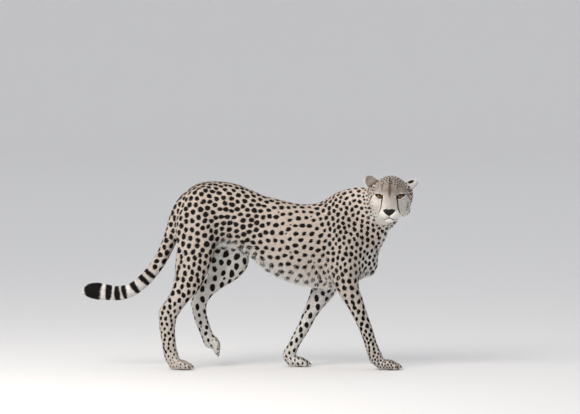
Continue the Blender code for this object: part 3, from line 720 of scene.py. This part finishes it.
# the middle and half width of each ring, from the tail's tip
RINGS = [(58, 33), (119, 14), (158, 13.5), (190, 10.5), (240, 13), (287, 12), (328, 10)]
line_ink = np.full(len(points), UNMARKED)
under = ramp(0.1, -0.8, facing_up)
for middle, half in RINGS:
    slant = 3 * np.sin(middle) * normals[:, 1]
    ring = np.abs(from_tip - middle - slant) - half * (1 - 0.35 * under * (middle > 100))
    line_ink = np.where(ringed, np.minimum(line_ink, ring), line_ink)


def drawn(path, width):
    """Distance in mm from a line laid on both sides of the face, less half its width. Each of its places is
    given left of and above the eyes, with its share of the width, and how far ahead if it isn't in front."""
    away = np.full(len(H), UNMARKED)
    for mirror in (1, -1):
        laid = []
        widths = []
        for one, other in pairwise(path):
            for t in np.arange(0, 1, 0.125):
                l, u, share, *depth = (np.array(one) + t * (np.array(other) - one)).tolist()
                start = Vector(out_of_head(np.array((200, mirror * l, u))))
                met = (None,) if depth else skin_tree.ray_cast(start, Vector(-ahead))
                if met[0] is None:
                    met = skin_tree.find_nearest(start - Vector(ahead) * (0.2 - sum(depth) / 1000))
                laid.append(in_head(np.array(met[0])))
                widths.append(share * width)
        close = np.abs(H - np.mean(laid, axis=0)).max(axis=1) < 60
        away[close] = np.minimum(away[close], from_line(H[close], laid, widths)[0])
    return away


TEAR = [(29, -3, 0.9, 25), (28.4, -10, 0.8, 28), (28.4, -22, 0.8, 35), (29.4, -33, 0.85, 40)]
TEAR += [(32, -45, 0.95, 43), (36, -55, 1, 46), (39.2, -64, 0.95, 47), (41.3, -72, 0.7, 46)]
TEAR += [(41.3, -80, 0.45, 46)]
STROKES = [[(64, 1, 0.4), (71, -5, 0.7), (76, -12, 0.9)], [(78, -15, 1), (81, -25, 1)]]
STROKES += [[(84, -32, 0.8), (85, -41, 0.9)], [(82, -52, 1), (81, -61, 1)], [(77, -67, 1), (76, -72, 1)]]
STROKES += [[(69, -80, 1), (68, -82, 1)], [(57, -88, 0.8), (56, -90, 0.8)], [(70, -45, 0.7), (74, -49, 0.7)]]
STROKES += [[(72, 14, 0.7), (76, 22, 0.8)], [(79, 4, 0.8), (84, -2, 0.8)], [(75, -54, 0.7), (76, -58, 0.6)]]
STROKES += [[(66, -60, 0.5), (68, -64, 0.6)], [(72, -30, 0.6), (75, -34, 0.6)]]
STROKES += [[(60, -74, 0.6), (61, -78, 0.6)]]
EYE_CORNER = [(54, -1, 1.5), (60, 0.5, 1.1), (66, 0.5, 0.4)]
LIP_CLEFT = [(0, -82, 1), (0, -92, 1)]
LIPS = [(l, u, 1 - 0.015 * l) for a, l, u in MOUTH[:4]]
LINES = [(TEAR, 6.2), (EYE_CORNER, 2.4), (LIPS, 2), (LIP_CLEFT, 1.2)] + [(stroke, 3.2) for stroke in STROKES]
around_eye = np.zeros(len(points))
face_ink = np.minimum.reduce([drawn(path, width) for path, width in LINES])
eye_gap = {}
for name in eye_centre:
    forward, outward, above = socket(name)
    eye_gap[name] = almond(outward, above)
    rim = eye_gap[name] - 4.8 - 1.8 * ramp(-1, 5, above)
    face_ink = np.minimum(face_ink, np.where(forward > 0, rim, UNMARKED))
    ring = ramp(17, 7, eye_gap[name] + 4 * ramp(-2, 4, above)) * (forward > -25)
    around_eye = np.maximum(around_eye, ring)
nose_down = np.clip((-53 - h_up) / 31, 0, 1)
nose_half = 25.5 * (1 - nose_down ** 2.1) * (1 - 0.16 * np.exp(-((nose_down / 0.07) ** 2))) + 1.2
nose_top = h_up + 55.5 + 0.004 * h_left ** 2 - 2.5 * np.exp(-((np.abs(h_left) - 12) / 7) ** 2)
nose = np.maximum(np.maximum(nose_top, np.abs(h_left) - nose_half), -84.5 - h_up)
nose = np.where(h_ahead > 60, nose, UNMARKED)
on_face = (h_ahead > -70) & (ear < 0.3) & (head + weight["eye"] > 0.4)
line_ink = np.where(on_face, np.minimum(np.minimum(line_ink, face_ink), nose), line_ink)
soles = ramp(-0.75, -0.93, facing_up) * ramp(0.05, 0.03, Z)
leather = np.maximum(ramp(0.8, -0.8, nose), soles * np.clip(weight["forepaw"] + weight["hindpaw"], 0, 1))

# an ear is grey within and darker towards its base: partly the grey of its hair, partly painted shade in its
# hollow
ear_grey_and_shade = np.zeros(len(points))
for name, (middle, opening, across, tip) in ear_axes.items():
    place = H - middle
    bar = (np.hypot((place @ across - 8) / 8, (place @ tip + 2) / 15) - 1) * 10
    black_back = ((norm(place, axis=1) < 52) * ear > 0.5) & (N @ opening < -0.1)
    line_ink = np.where(black_back, np.minimum(line_ink, bar), line_ink)
    base = ramp(4, -22, place @ tip)
    ear_grey_and_shade = np.maximum(ear_grey_and_shade, ramp(0.05, 0.3, in_ear[name]) * (0.72 + 0.28 * base))

# ------------ ground of the coat
# The hair between the markings is tan, warmest along the back. White stays low on the flank and off the
# outer sides of the limbs, and reaches over throat, cheeks and muzzle. Crown, brow and bridge are greyer.

open_belly = ramp(-0.2, -0.08, X) * ramp(0.36, 0.27, X)
LIMBS = [(-0.22, 0.52, 0.13, True), (-0.09, 0.52, 0.13, False)]
LIMBS += [(0.42, 0.38, 0.1, True), (0.31, 0.38, 0.1, False)]
for limb_x, limb_z, reach, on_right in LIMBS:
    limb = ramp(1.25, 0.85, np.hypot(X - limb_x, Z - limb_z) / reach)
    open_belly *= 1 - limb * ramp(0.15, -0.15, inward) * (is_right == on_right)
facing_front = normals @ np.array((0.9, 0, -0.43))
facing_throat = normals @ np.array((0.7, 0, -0.7))
flank_white = np.maximum(ramp(0.32, 0.04, height) * open_belly, ramp(-0.35, -0.85, facing_up))
breast = ramp(0.43, 0.49, X) * ramp(0.56, 0.44, Z) * ramp(0, 0.6, facing_front)
flank_white = np.maximum(np.maximum(flank_white, breast), ramp(0.2, 0.75, inward) * (height < 0.5))
pale = trunk * flank_white + neck * ramp(0.25, 0.85, facing_throat)
pale += legs * (0.3 + 0.55 * ramp(0, 0.7, inward)) + thigh * 0.85 * ramp(0.05, 0.6, inward)
pale += tail * np.clip(ramp(0.2, -0.6, facing_up) + ramp(330, 200, from_tip), 0, 1)
muzzle_white = ramp(-48, -66, h_up) * ramp(-10, 15, h_ahead)
jaw = ramp(-60, -90, h_up)
cheek_white = ramp(-2, -34, h_up) * ramp(-50, -22, h_ahead + 25 * jaw) * (0.55 + 0.45 * jaw)
pale += face * np.maximum(np.maximum(around_eye, muzzle_white), cheek_white) + 0.75 * ear
pale = np.clip(spread(pale, edges, 3), 0, 1)
bridge = np.exp(-((h_left / 26) ** 2)) * ramp(-60, -48, h_up) * ramp(60, 10, h_up)
bridge *= face * (h_ahead > 0)
warm = np.clip(0.25 + 0.35 * ramp(0.4, 1, height) * trunk - 0.2 * bridge, 0, 1)
streak = np.exp(-((h_left / 4.6) ** 2)) * ramp(-16, 2, h_up) * ramp(74, 58, h_up)
brow = np.exp(-(((np.abs(h_left) - 31) / 3.8) ** 2) - ((h_up - 31) / 15) ** 2)
crown = ramp(-4, 20, h_up) * face * ramp(-60, -30, h_ahead)
shade = (0.6 * streak + 0.5 * brow) * face * (h_ahead > -40) + 0.38 * crown + 0.36 * bridge
# the clefts between the toes are darkened here as well: painted shade in the creases
shade = np.clip(shade + ear_grey_and_shade + 0.8 * cleft, 0, 1)
ink = np.minimum(ink_of_spots(points, spotless), line_ink)
MARKS = {"ink": np.clip(ink, -8, 8), "pale": pale, "warm": warm, "leather": leather, "shade": shade}


def mark(mesh, name, values, kind_of_value="FLOAT", field="value"):
    """Keeps a value, or a direction, at every point of a mesh."""
    made = mesh.attributes.new(name, kind_of_value, "POINT")
    made.data.foreach_set(field, np.ravel(values).astype(np.float32))


for name, values in MARKS.items():
    mark(skin.data, name, values)
skin.data.shade_smooth()

TAN = (0.69, 0.615, 0.562, 1)
WARM_TAN = (0.66, 0.545, 0.45, 1)
WHITE = (0.855, 0.83, 0.795, 1)
GREY_BROWN = (0.14, 0.105, 0.08, 1)
BLACK = (0.011, 0.009, 0.009, 1)


def give(tree, taker, inputs):
    """Sets each of a node's inputs, to a plain value or by a link from a socket."""
    for name, value in inputs.items():
        if isinstance(value, bpy.types.NodeSocket):
            tree.links.new(value, taker.inputs[name])
        else:
            taker.inputs[name].default_value = value


def node(tree, kind_of_node, inputs, output=0, **settings):
    """Adds a node and returns one of its outputs."""
    made = tree.nodes.new(f"ShaderNode{kind_of_node}")
    for name, value in settings.items():
        setattr(made, name, value)
    give(tree, made, inputs)
    return made.outputs[output]


def mixed(tree, share, one, other, blend="MIX"):
    return node(tree, "Mix", {0: share, 6: one, 7: other}, 2, data_type="RGBA", blend_type=blend)


def attribute(tree, name):
    return node(tree, "Attribute", {}, "Fac", attribute_name=name)


def noise(tree, scale, detail):
    here = node(tree, "TexCoord", {}, "Object")
    return node(tree, "TexNoise", {"Vector": here, "Scale": scale, "Detail": detail})


def mapped(tree, value, low, high, to_low, to_high):
    inputs = {"Value": value, "From Min": low, "From Max": high, "To Min": to_low, "To Max": to_high}
    return node(tree, "MapRange", inputs)


def finish(name, inputs):
    """A new material, with these inputs on its shader."""
    made = bpy.data.materials.new(name)
    made.use_nodes = True
    give(made.node_tree, made.node_tree.nodes["Principled BSDF"], inputs)
    return made


# one mixing of hair colours serves skin and coat alike
hair_colour = bpy.data.node_groups.new("hair_colour", "ShaderNodeTree")
for name in ("Ink", "Pale", "Warm", "Shade", "Edge", "Light"):
    hair_colour.interface.new_socket(name, in_out="INPUT", socket_type="NodeSocketFloat")
hair_colour.interface.new_socket("Colour", in_out="OUTPUT", socket_type="NodeSocketColor")
given = hair_colour.nodes.new("NodeGroupInput").outputs
ground = mixed(hair_colour, given["Warm"], TAN, WARM_TAN)
ground = mixed(hair_colour, given["Pale"], ground, WHITE)
# Shade mixes towards grey-brown: the crown, brow and bridge in their own colour, the ears' hollows and the
# toes' clefts as painted shade
ground = mixed(hair_colour, given["Shade"], ground, GREY_BROWN)
patchy = mapped(hair_colour, noise(hair_colour, 60, 3), 0.35, 0.65, 0.93, 1.06)
# Light is each blade's own random tone, multiplied by the painted shade towards its root
lit = node(hair_colour, "Math", {0: patchy, 1: given["Light"]}, operation="MULTIPLY")
ground = mixed(hair_colour, 1, ground, lit, "MULTIPLY")
within = node(hair_colour, "Math", {0: given["Edge"], 1: -1}, operation="MULTIPLY")
edge_inputs = {"Value": given["Ink"], "From Min": given["Edge"], "From Max": within}
black = node(hair_colour, "MapRange", edge_inputs, interpolation_type="SMOOTHSTEP")
group_output = hair_colour.nodes.new("NodeGroupOutput")
give(hair_colour, group_output, {"Colour": mixed(hair_colour, black, ground, BLACK)})


def hair_material(name, edge, lit, inputs):
    """Hair coloured by its marks. edge is half the width over which black passes into the ground, in mm."""
    made = finish(name, inputs)
    tree = made.node_tree
    marks = {mark_name: attribute(tree, mark_name.lower()) for mark_name in ("Ink", "Pale", "Warm", "Shade")}
    marks.update({"Edge": edge, "Light": attribute(tree, "light") if lit else 1})
    colour = node(tree, "Group", marks, node_tree=hair_colour)
    give(tree, tree.nodes["Principled BSDF"], {"Base Color": colour})
    return made


skin_finish = hair_material("skin_finish", 0.8, False, {"Specular IOR Level": 0.25})
tree = skin_finish.node_tree
nap = node(tree, "Bump", {"Strength": 0.5, "Distance": 0.0008, "Height": noise(tree, 900, 2)})
damp = mapped(tree, attribute(tree, "leather"), 0, 1, 0.85, 0.42)
give(tree, tree.nodes["Principled BSDF"], {"Roughness": damp, "Normal": nap})
skin.data.materials.clear()
skin.data.materials.append(skin_finish)
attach(skin, "root")
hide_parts(*FLESH)

# ------------ coat
# The fur is short and lies close: each tuft is a thin blade, rooted just under the skin and laid back over
# its neighbours, coloured by the mark it grows from. It is smallest on the face and feet.

hair_finish = hair_material("hair_finish", 0.25, True, {"Roughness": 0.78, "Specular IOR Level": 0.12})
hair_length = by_part(
    trunk=9.5, neck=11, thigh=9, shank=7.5, foreleg=7, metatarsus=5.5,
    forepaw=4.2, hindpaw=4.2, tail=12, head=6, ear=4.6, eye=2.2,
)
hair_length *= 1 - 0.6 * ramp(80, 40, norm(H - (70, 0, -72), axis=1)) * face
hair_length *= 1 + 0.9 * ramp(-20, -55, h_ahead) * face * (h_up < 20)
hair_length = spread(hair_length, edges, 6)
hair_bare = np.maximum(leather, Z < 0.003)
for name, gap in eye_gap.items():
    forward = socket(name)[0]
    hair_bare = np.maximum(hair_bare, ramp(3.6, 2.8, gap) * (forward > 0))
    by_the_eye = np.where(forward > -8, np.clip(1 + 0.22 * gap, 1.4, 30), 30)
    hair_length = np.minimum(hair_length, by_the_eye)

# the areas of the coat, each with its number of short tufts and the parts of the body that it covers
HIND_PARTS = ["thigh", "shank", "metatarsus", "hindpaw"]
AREAS = {
    "coat_head": (92000, ["head", "eye", "ear"]),
    "coat_neck": (60000, ["neck"]),
    "coat_trunk_right": (90000, ["trunk"]),
    "coat_trunk_left": (90000, ["trunk"]),
    "coat_hind_right": (80000, HIND_PARTS),
    "coat_hind_left": (80000, HIND_PARTS),
    "coat_fore": (90000, ["foreleg", "forepaw"]),
    "coat_tail": (40000, ["tail"]),
}
skin.data.calc_loop_triangles()
triangles = skin.data.loop_triangles
skin_tris = array_of(triangles, "vertices", 3, np.int32)
tri_loops = array_of(triangles, "loops", 3, np.int32)
sides = points[skin_tris[:, 1:]] - points[skin_tris[:, :1]]
tri_area = norm(np.cross(sides[:, 0], sides[:, 1]), axis=1) / 2
area_of_tri = np.full(len(skin_tris), -1)
for number, (name, (count, parts)) in enumerate(AREAS.items()):
    mine = np.isin(kind[skin_tris[:, 0]], parts)
    if name.endswith(("right", "left")):
        mine &= is_right[skin_tris[:, 0]] == name.endswith("right")
    area_of_tri[mine] = number

# each area of skin is unwrapped over a whole square, where its tufts find their patches of colour
opened = placed("opened", skin.data.copy())
opened.data.uv_layers.new(name="opened")
bpy.context.view_layer.objects.active = opened
area_of_face = np.full(len(opened.data.polygons), -1)
area_of_face[array_of(triangles, "polygon_index", 1, np.int32)[:, 0]] = area_of_tri
for number in range(len(AREAS)):
    opened.data.polygons.foreach_set("select", area_of_face == number)
    bpy.ops.object.mode_set(mode="EDIT")
    bpy.ops.uv.smart_project(angle_limit=math.radians(66), island_margin=0.002)
    bpy.ops.object.mode_set(mode="OBJECT")
opened_uv = array_of(opened.data.uv_layers["opened"].data, "uv", 2)
bpy.data.objects.remove(opened)
KNOWN = {"place": points, "normal": normals, "lie": lie, "length": hair_length, "bare": hair_bare, **MARKS}
KNOWN.update({"line_ink": line_ink, "spotless": spotless.astype(float)})


def roots(area, count, density):
    """Seeded places on one area of skin, thicker where density says, with all that is known there."""
    mine = np.flatnonzero(area_of_tri == list(AREAS).index(area))
    chance = np.cumsum(tri_area[mine] * density[skin_tris[mine]].mean(axis=1))
    chosen = mine[np.searchsorted(chance, rng.random(count) * chance[-1])]
    a, b = rng.random((2, count))
    a, b = np.where(a + b > 1, (1 - a, 1 - b), (a, b))
    share = np.stack([1 - a - b, a, b], axis=1)
    known = {"uv": (opened_uv[tri_loops[chosen]] * share[:, :, None]).sum(axis=1)}
    for name, values in KNOWN.items():
        shares = share if values.ndim == 1 else share[:, :, None]
        known[name] = (values[skin_tris[chosen]] * shares).sum(axis=1)
    kept = known["bare"] < rng.random(count) * 0.9 + 0.05
    return {name: values[kept] for name, values in known.items()}


def combed(area, count, density, lengths, sway):
    """Roots, with the skin's normal at each, a length in m between two in mm, and the way it is combed."""
    known = roots(area, count, density)
    normal = unit(known["normal"])
    length = rng.uniform(*lengths, len(normal)) / 1000
    along = along_skin(known["lie"], normal)
    swing = rng.normal(0, sway, len(normal))[:, None]
    along = unit(along * np.cos(swing) + np.cross(along, normal) * np.sin(swing))
    return known, known["place"], normal, length, along


# the corners of a short blade's one face, and of a long blade's three; each blade's patch of colour
BLADE_FACES = {3: [[0, 1, 3, 2]], 4: [[0, 1, 2], [1, 3, 4, 2], [3, 5, 4]]}
PATCH = 0.0015
ROOT_DEPTH = 0.0004
LONG_ROOT_DEPTH = 0.0005
OFF_THE_FLOOR = 0.0003


def blades(name, spines, across, widths, facing, known, bare, light):
    """One mesh of tapering blades. spines is a list of rows of points from root to tip."""
    rows = len(spines)
    place = [spines[0]]
    patch = [(0, -PATCH)]
    along = [0]
    for row, side in product(range(1, rows - 1), (1, -1)):
        place.append(spines[row] + side * across * (widths * (0.62 if row == 1 else 0.5))[:, None])
        patch.append((side * PATCH, 0))
        along.append(row / (rows - 1))
    vertices = np.stack([*place, spines[-1]], axis=1)
    patch = np.array([*patch, (0, PATCH)])
    # each blade is painted darker towards its root and a little lighter at its tip: painted shade where
    # blades lie under one another
    root_shade = 0.8 + 0.26 * np.array([*along, 1])
    vertices[:, :, 2] = np.maximum(vertices[:, :, 2], OFF_THE_FLOOR)
    count, per, _ = vertices.shape
    faces = BLADE_FACES[rows]
    loops = (np.arange(count)[:, None] * per + np.concatenate(faces)).ravel()
    starts = np.cumsum([0, *np.tile([len(face) for face in faces], count)])[:-1]
    mesh = bpy.data.meshes.new(name)
    mesh.vertices.add(count * per)
    mesh.vertices.foreach_set("co", vertices.astype(np.float32).ravel())
    mesh.loops.add(len(loops))
    mesh.loops.foreach_set("vertex_index", loops.astype(np.int32))
    mesh.polygons.add(len(starts))
    mesh.polygons.foreach_set("loop_start", starts.astype(np.int32))
    mesh.update(calc_edges=True)
    known["ink"] = np.clip(np.minimum(known["line_ink"], bare), -8, 8)
    for mark_name in MARKS:
        mark(mesh, mark_name, np.repeat(known[mark_name], per))
    mark(mesh, "light", light[:, None] * root_shade)
    mark(mesh, "custom_normal", np.repeat(facing, per, axis=0), "FLOAT_VECTOR", "vector")
    uv = (known["uv"][:, None] + patch).reshape(-1, 2)[loops]
    mesh.uv_layers.new(name="OFBake").data.foreach_set("uv", uv.astype(np.float32).ravel())
    mesh.materials.append(hair_finish)
    coat = placed(name, mesh)
    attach(coat, "root")


def laid_blades(name, count, density):
    """Short tufts that lie along the body, their tips held just clear of the skin."""
    known, place, normal, length, along = combed(name, count, density, (0.75, 1.2), 0.2)
    length *= known["length"]
    met = [skin_tree.find_nearest(p) for p in place + along * length[:, None]]
    tips = np.array([hit[0] for hit in met])
    tip_normal = np.array([hit[1] for hit in met])
    ink = ink_of_spots(place + along * (0.55 * length)[:, None], known["spotless"] > 0.5)
    clear = (0.1 + 0.26 * rng.random(len(place))) * length
    bend = ((tip_normal - normal) * along).sum(axis=1)
    middle = 0.52 * place + 0.48 * tips + normal * (bend * length / 8 + 0.55 * clear)[:, None]
    spines = [place - normal * ROOT_DEPTH, middle, tips + tip_normal * clear[:, None]]
    facing = unit(unit(normal + tip_normal) + rng.normal(0, 0.16, place.shape))
    light = rng.normal(1, 0.1, len(place)).clip(0.72, 1.3)
    widths = length * (0.115 + 0.04 * rng.random(len(place)))
    blades(name, spines, np.cross(along, normal), widths, facing, known, ink, light)


def long_blades(name, area, count, where, lengths, lift, droop, fade=0):
    """Longer hair that stands off the body and hangs a little. fade is the share that loses its mark."""
    known, place, normal, length, along = combed(area, count, where, lengths, 0.22)
    raised_by = (lift + rng.normal(0, 0.08, len(place)))[:, None]
    leaving = along * np.cos(raised_by) + normal * np.sin(raised_by)
    hang = -droop * up
    one = place + leaving * (length / 3)[:, None]
    two = one + unit(leaving + 0.5 * hang) * (length / 3)[:, None]
    three = two + unit(leaving + hang) * (length / 3)[:, None]
    unmarked = (known["spotless"] > 0.5) | (rng.random(len(place)) < fade)
    ink = ink_of_spots(place + leaving * (0.62 * length)[:, None], unmarked)
    facing = unit(normal + rng.normal(0, 0.18, place.shape))
    light = rng.normal(1, 0.09, len(place)).clip(0.75, 1.25)
    spines = [place - normal * LONG_ROOT_DEPTH, one, two, three]
    blades(name, spines, unit(np.cross(leaving, normal)), length * 0.055, facing, known, ink, light)


even = 1 / np.clip(hair_length, 3, 14) ** 1.6
for name, (count, parts) in AREAS.items():
    laid_blades(name, count, even)
belly = trunk * ramp(-0.32, -0.85, facing_up) * ramp(-0.22, -0.1, X)
armpit = trunk * np.exp(-(((X - 0.3) / 0.05) ** 2) - ((Z - 0.42) / 0.045) ** 2)
rear = thigh * ramp(-0.2, -0.8, normals[:, 0])
for side in ("right", "left"):
    where = belly + 0.45 * armpit
    long_blades(f"fringe_{side}", f"coat_trunk_{side}", 9000, where, (13, 27), 0.26, 1.1, 0.08)
    long_blades(f"breeches_{side}", f"coat_hind_{side}", 4000, rear, (12, 19), 0.22, 0.5)
throat = neck * (ramp(0.1, 0.7, facing_throat) + 0.5 * ramp(0.3, 0.8, facing_up))
long_blades("throat_ruff", "coat_neck", 9000, throat, (14, 22), 0.24, 0.6)
cup = in_ear["right"] + in_ear["left"]
ruff = head * ramp(-15, -45, h_ahead) * ramp(20, -20, h_up) + ramp(0.35, 0.1, cup) * (cup > 0.01)
long_blades("cheek_ruff", "coat_head", 6000, ruff, (7, 12), 0.3, 0.25)
long_blades("tail_tuft", "coat_tail", 8000, tail * ramp(110, 20, from_tip), (12, 22), 0.2, 0.15)

# ------------ eyes
# Each eyeball fills its socket: an amber iris round a small black pupil, darkening to a black rim, under a
# clear wet cornea that bulges slightly. Both look the same way, straight out over the shoulder.

IRIS = 11.6
CORNEA = 10.1
CORNEA_RISE = 0.0006
GAZE = Vector((0, -0.9985, 0.055))
EYE_STOPS = [(0, (0.004, 0.003, 0.003)), (0.265, (0.004, 0.003, 0.003)), (0.295, (0.15, 0.062, 0.013))]
EYE_STOPS += [(0.45, (0.33, 0.155, 0.036)), (0.7, (0.25, 0.104, 0.024)), (0.84, (0.1, 0.038, 0.012))]
EYE_STOPS += [(0.93, (0.018, 0.01, 0.006)), (1, (0.03, 0.018, 0.013))]
wet = {"Coat Weight": 1, "Coat Roughness": 0.03, "Coat IOR": 1.34}
eye_finish = finish("eye_finish", {"Roughness": 0.25, "Specular IOR Level": 0.1, **wet})
tree = eye_finish.node_tree
iris = node(tree, "ValToRGB", {"Fac": attribute(tree, "off_axis")})
stops = iris.node.color_ramp.elements
for position, colour in EYE_STOPS[2:]:
    stops.new(position)
for stop, (position, colour) in zip(stops, EYE_STOPS):
    stop.position = position
    stop.color = (*colour, 1)
round_axis = attribute(tree, "round_axis")
fibres = node(tree, "TexNoise", {"W": round_axis, "Scale": 14, "Detail": 3}, noise_dimensions="1D")
iris_colour = mixed(tree, 1, iris, mapped(tree, fibres, 0.3, 0.7, 0.72, 1.25), "MULTIPLY")
give(tree, tree.nodes["Principled BSDF"], {"Base Color": iris_colour})

for side, centre in eye_centre.items():
    mesh = bpy.data.meshes.new(f"eyeball_{side}")
    off_axis = []
    round_axis = []
    with editing(mesh) as bm:
        bmesh.ops.create_uvsphere(bm, u_segments=48, v_segments=40, radius=EYE_RADIUS)
        for v in bm.verts:
            radius = math.hypot(v.co.x, v.co.y) * 1000
            front = v.co.z > 0
            if front and radius < CORNEA:
                v.co.z += CORNEA_RISE * (1 - (radius / CORNEA) ** 2)
            turned = math.atan2(v.co.y, v.co.x)
            off_axis.append(min(radius / IRIS, 1) if front else 1)
            round_axis.append(math.sin(3 * turned) + 0.3 * turned)
    mesh.transform(Matrix.Translation(centre) @ GAZE.to_track_quat("Z", "X").to_matrix().to_4x4())
    mark(mesh, "off_axis", off_axis)
    mark(mesh, "round_axis", round_axis)
    mesh.shade_smooth()
    mesh.materials.append(eye_finish)
    ball = placed(f"eyeball_{side}", mesh)
    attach(ball, "root")
    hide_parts(f"eye_{side}")

# ------------ claws
# Blunt dark horn, one at the end of each toe. They always show, since a cheetah's claws don't draw in fully
# as other cats' do.

claw_finish = finish("claw_finish", {"Base Color": (0.045, 0.036, 0.03, 1), "Roughness": 0.42})
for name in nodes:
    if name.startswith("claw_"):
        nodes[name].data.materials.clear()
        nodes[name].data.materials.append(claw_finish)

# ------------ whiskers
# Stiff pale hairs that stand in three short rows on each muzzle pad. They sweep out, back and a little down,
# each bending under its own weight.

WHISKER_RINGS = 7
whisker_finish = finish("whisker_finish", {"Base Color": (0.8, 0.79, 0.76, 1), "Roughness": 0.35})


def between_rings(first, rings, corners):
    """The faces between rings of points, so many corners to each."""
    faces = []
    for ring, corner in product(range(rings - 1), range(corners)):
        a = first + corners * ring + corner
        b = first + corners * ring + (corner + 1) % corners
        faces.append((a, b, b + corners, a + corners))
    return faces


verts = []
faces = []
for side, row, place_in_row in product((1, -1), range(3), range(4)):
    start = np.array((200, side * (26 + 5 * place_in_row), -70 - 6 * row - place_in_row))
    root = in_head(np.array(skin_tree.ray_cast(Vector(out_of_head(start)), Vector(-ahead))[0]))
    out = np.array((0.25 - 0.16 * place_in_row, side, -0.22 - 0.16 * row)) + rng.normal(0, 0.06, 3)
    out /= norm(out)
    reach = 44 + 6 * place_in_row + 10 * rng.random()
    for t in np.linspace(0, 1, WHISKER_RINGS):
        sag = np.array((-0.18, 0, -0.168)) * reach * t * t
        at = out_of_head(root + out * (reach * t - 1) + sag)
        thick = 0.00026 * (1 - t) + 0.00004
        for turned in (0, math.pi / 2, math.pi, 1.5 * math.pi):
            verts.append(at + thick * (math.cos(turned) * ahead + math.sin(turned) * up))
    first_point = len(verts) - 4 * WHISKER_RINGS
    faces += between_rings(first_point, WHISKER_RINGS, 4)
    faces.append(tuple(range(first_point + 3, first_point - 1, -1)))
    faces.append(tuple(range(len(verts) - 4, len(verts))))
whiskers = mesh_object("whiskers", verts, faces)
whiskers.data.shade_smooth()
whiskers.data.materials.append(whisker_finish)
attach(whiskers, "root")

# ------------ floor, light and camera
# A plain pale floor that sweeps up far away into a pale wall all round, a broad soft light from above and
# one soft key light from the camera's left.

FLOOR_RADIUS = 30
SWEEP_RADIUS = 8
WALL_TOP = 14
SWEEP_STEPS = 12
ROUND = 64
profile = [(FLOOR_RADIUS - SWEEP_RADIUS, 0)]
for angle in np.arange(1, SWEEP_STEPS + 1) * math.pi / 2 / SWEEP_STEPS:
    sweep_at = FLOOR_RADIUS - SWEEP_RADIUS + SWEEP_RADIUS * math.sin(angle)
    profile.append((sweep_at, SWEEP_RADIUS * (1 - math.cos(angle))))
profile.append((FLOOR_RADIUS, WALL_TOP))
turns = 2 * math.pi * np.arange(ROUND) / ROUND
verts = [(out * math.cos(turn), out * math.sin(turn), rise) for (out, rise), turn in product(profile, turns)]
faces = [tuple(range(ROUND))] + [face[::-1] for face in between_rings(0, len(profile), ROUND)]
floor = mesh_object("floor", verts, faces)
floor.data.shade_smooth()
floor_finish = finish("floor_finish", {"Base Color": (0.8, 0.79, 0.775, 1), "Roughness": 0.9})
floor.data.materials.append(floor_finish)

world = bpy.data.worlds.new("studio")
bpy.context.scene.world = world
world.use_nodes = True
sky = world.node_tree.nodes["Background"]
give(world.node_tree, sky, {"Color": (0.93, 0.95, 1, 1), "Strength": 0.8})

key = placed("key", bpy.data.lights.new("key", "AREA"))
key.data.shape = "DISK"
key.data.size = 3
key.data.energy = 175
key.data.color = (1, 0.95, 0.88)
key.location = (-2.2, -3, 3.4)
key.rotation_euler = (Vector((0, 0, 0.5)) - key.location).to_track_quat("-Z", "Y").to_euler()

CAMERA_AWAY = 18
CAMERA_RISE = math.radians(3)
METRES_ACROSS = 2.436
SENSOR = 36
target = Vector((0.168, 0.066, 0.679))
camera = placed("camera", bpy.data.cameras.new("camera"))
camera.location = target + CAMERA_AWAY * Vector((0, -math.cos(CAMERA_RISE), math.sin(CAMERA_RISE)))
camera.rotation_euler = (math.pi / 2 - CAMERA_RISE, 0, 0)
camera.data.sensor_width = SENSOR
camera.data.lens = SENSOR * CAMERA_AWAY / METRES_ACROSS
camera.data.clip_end = 100
bpy.context.scene.camera = camera
bpy.context.scene.view_settings.view_transform = "Standard"
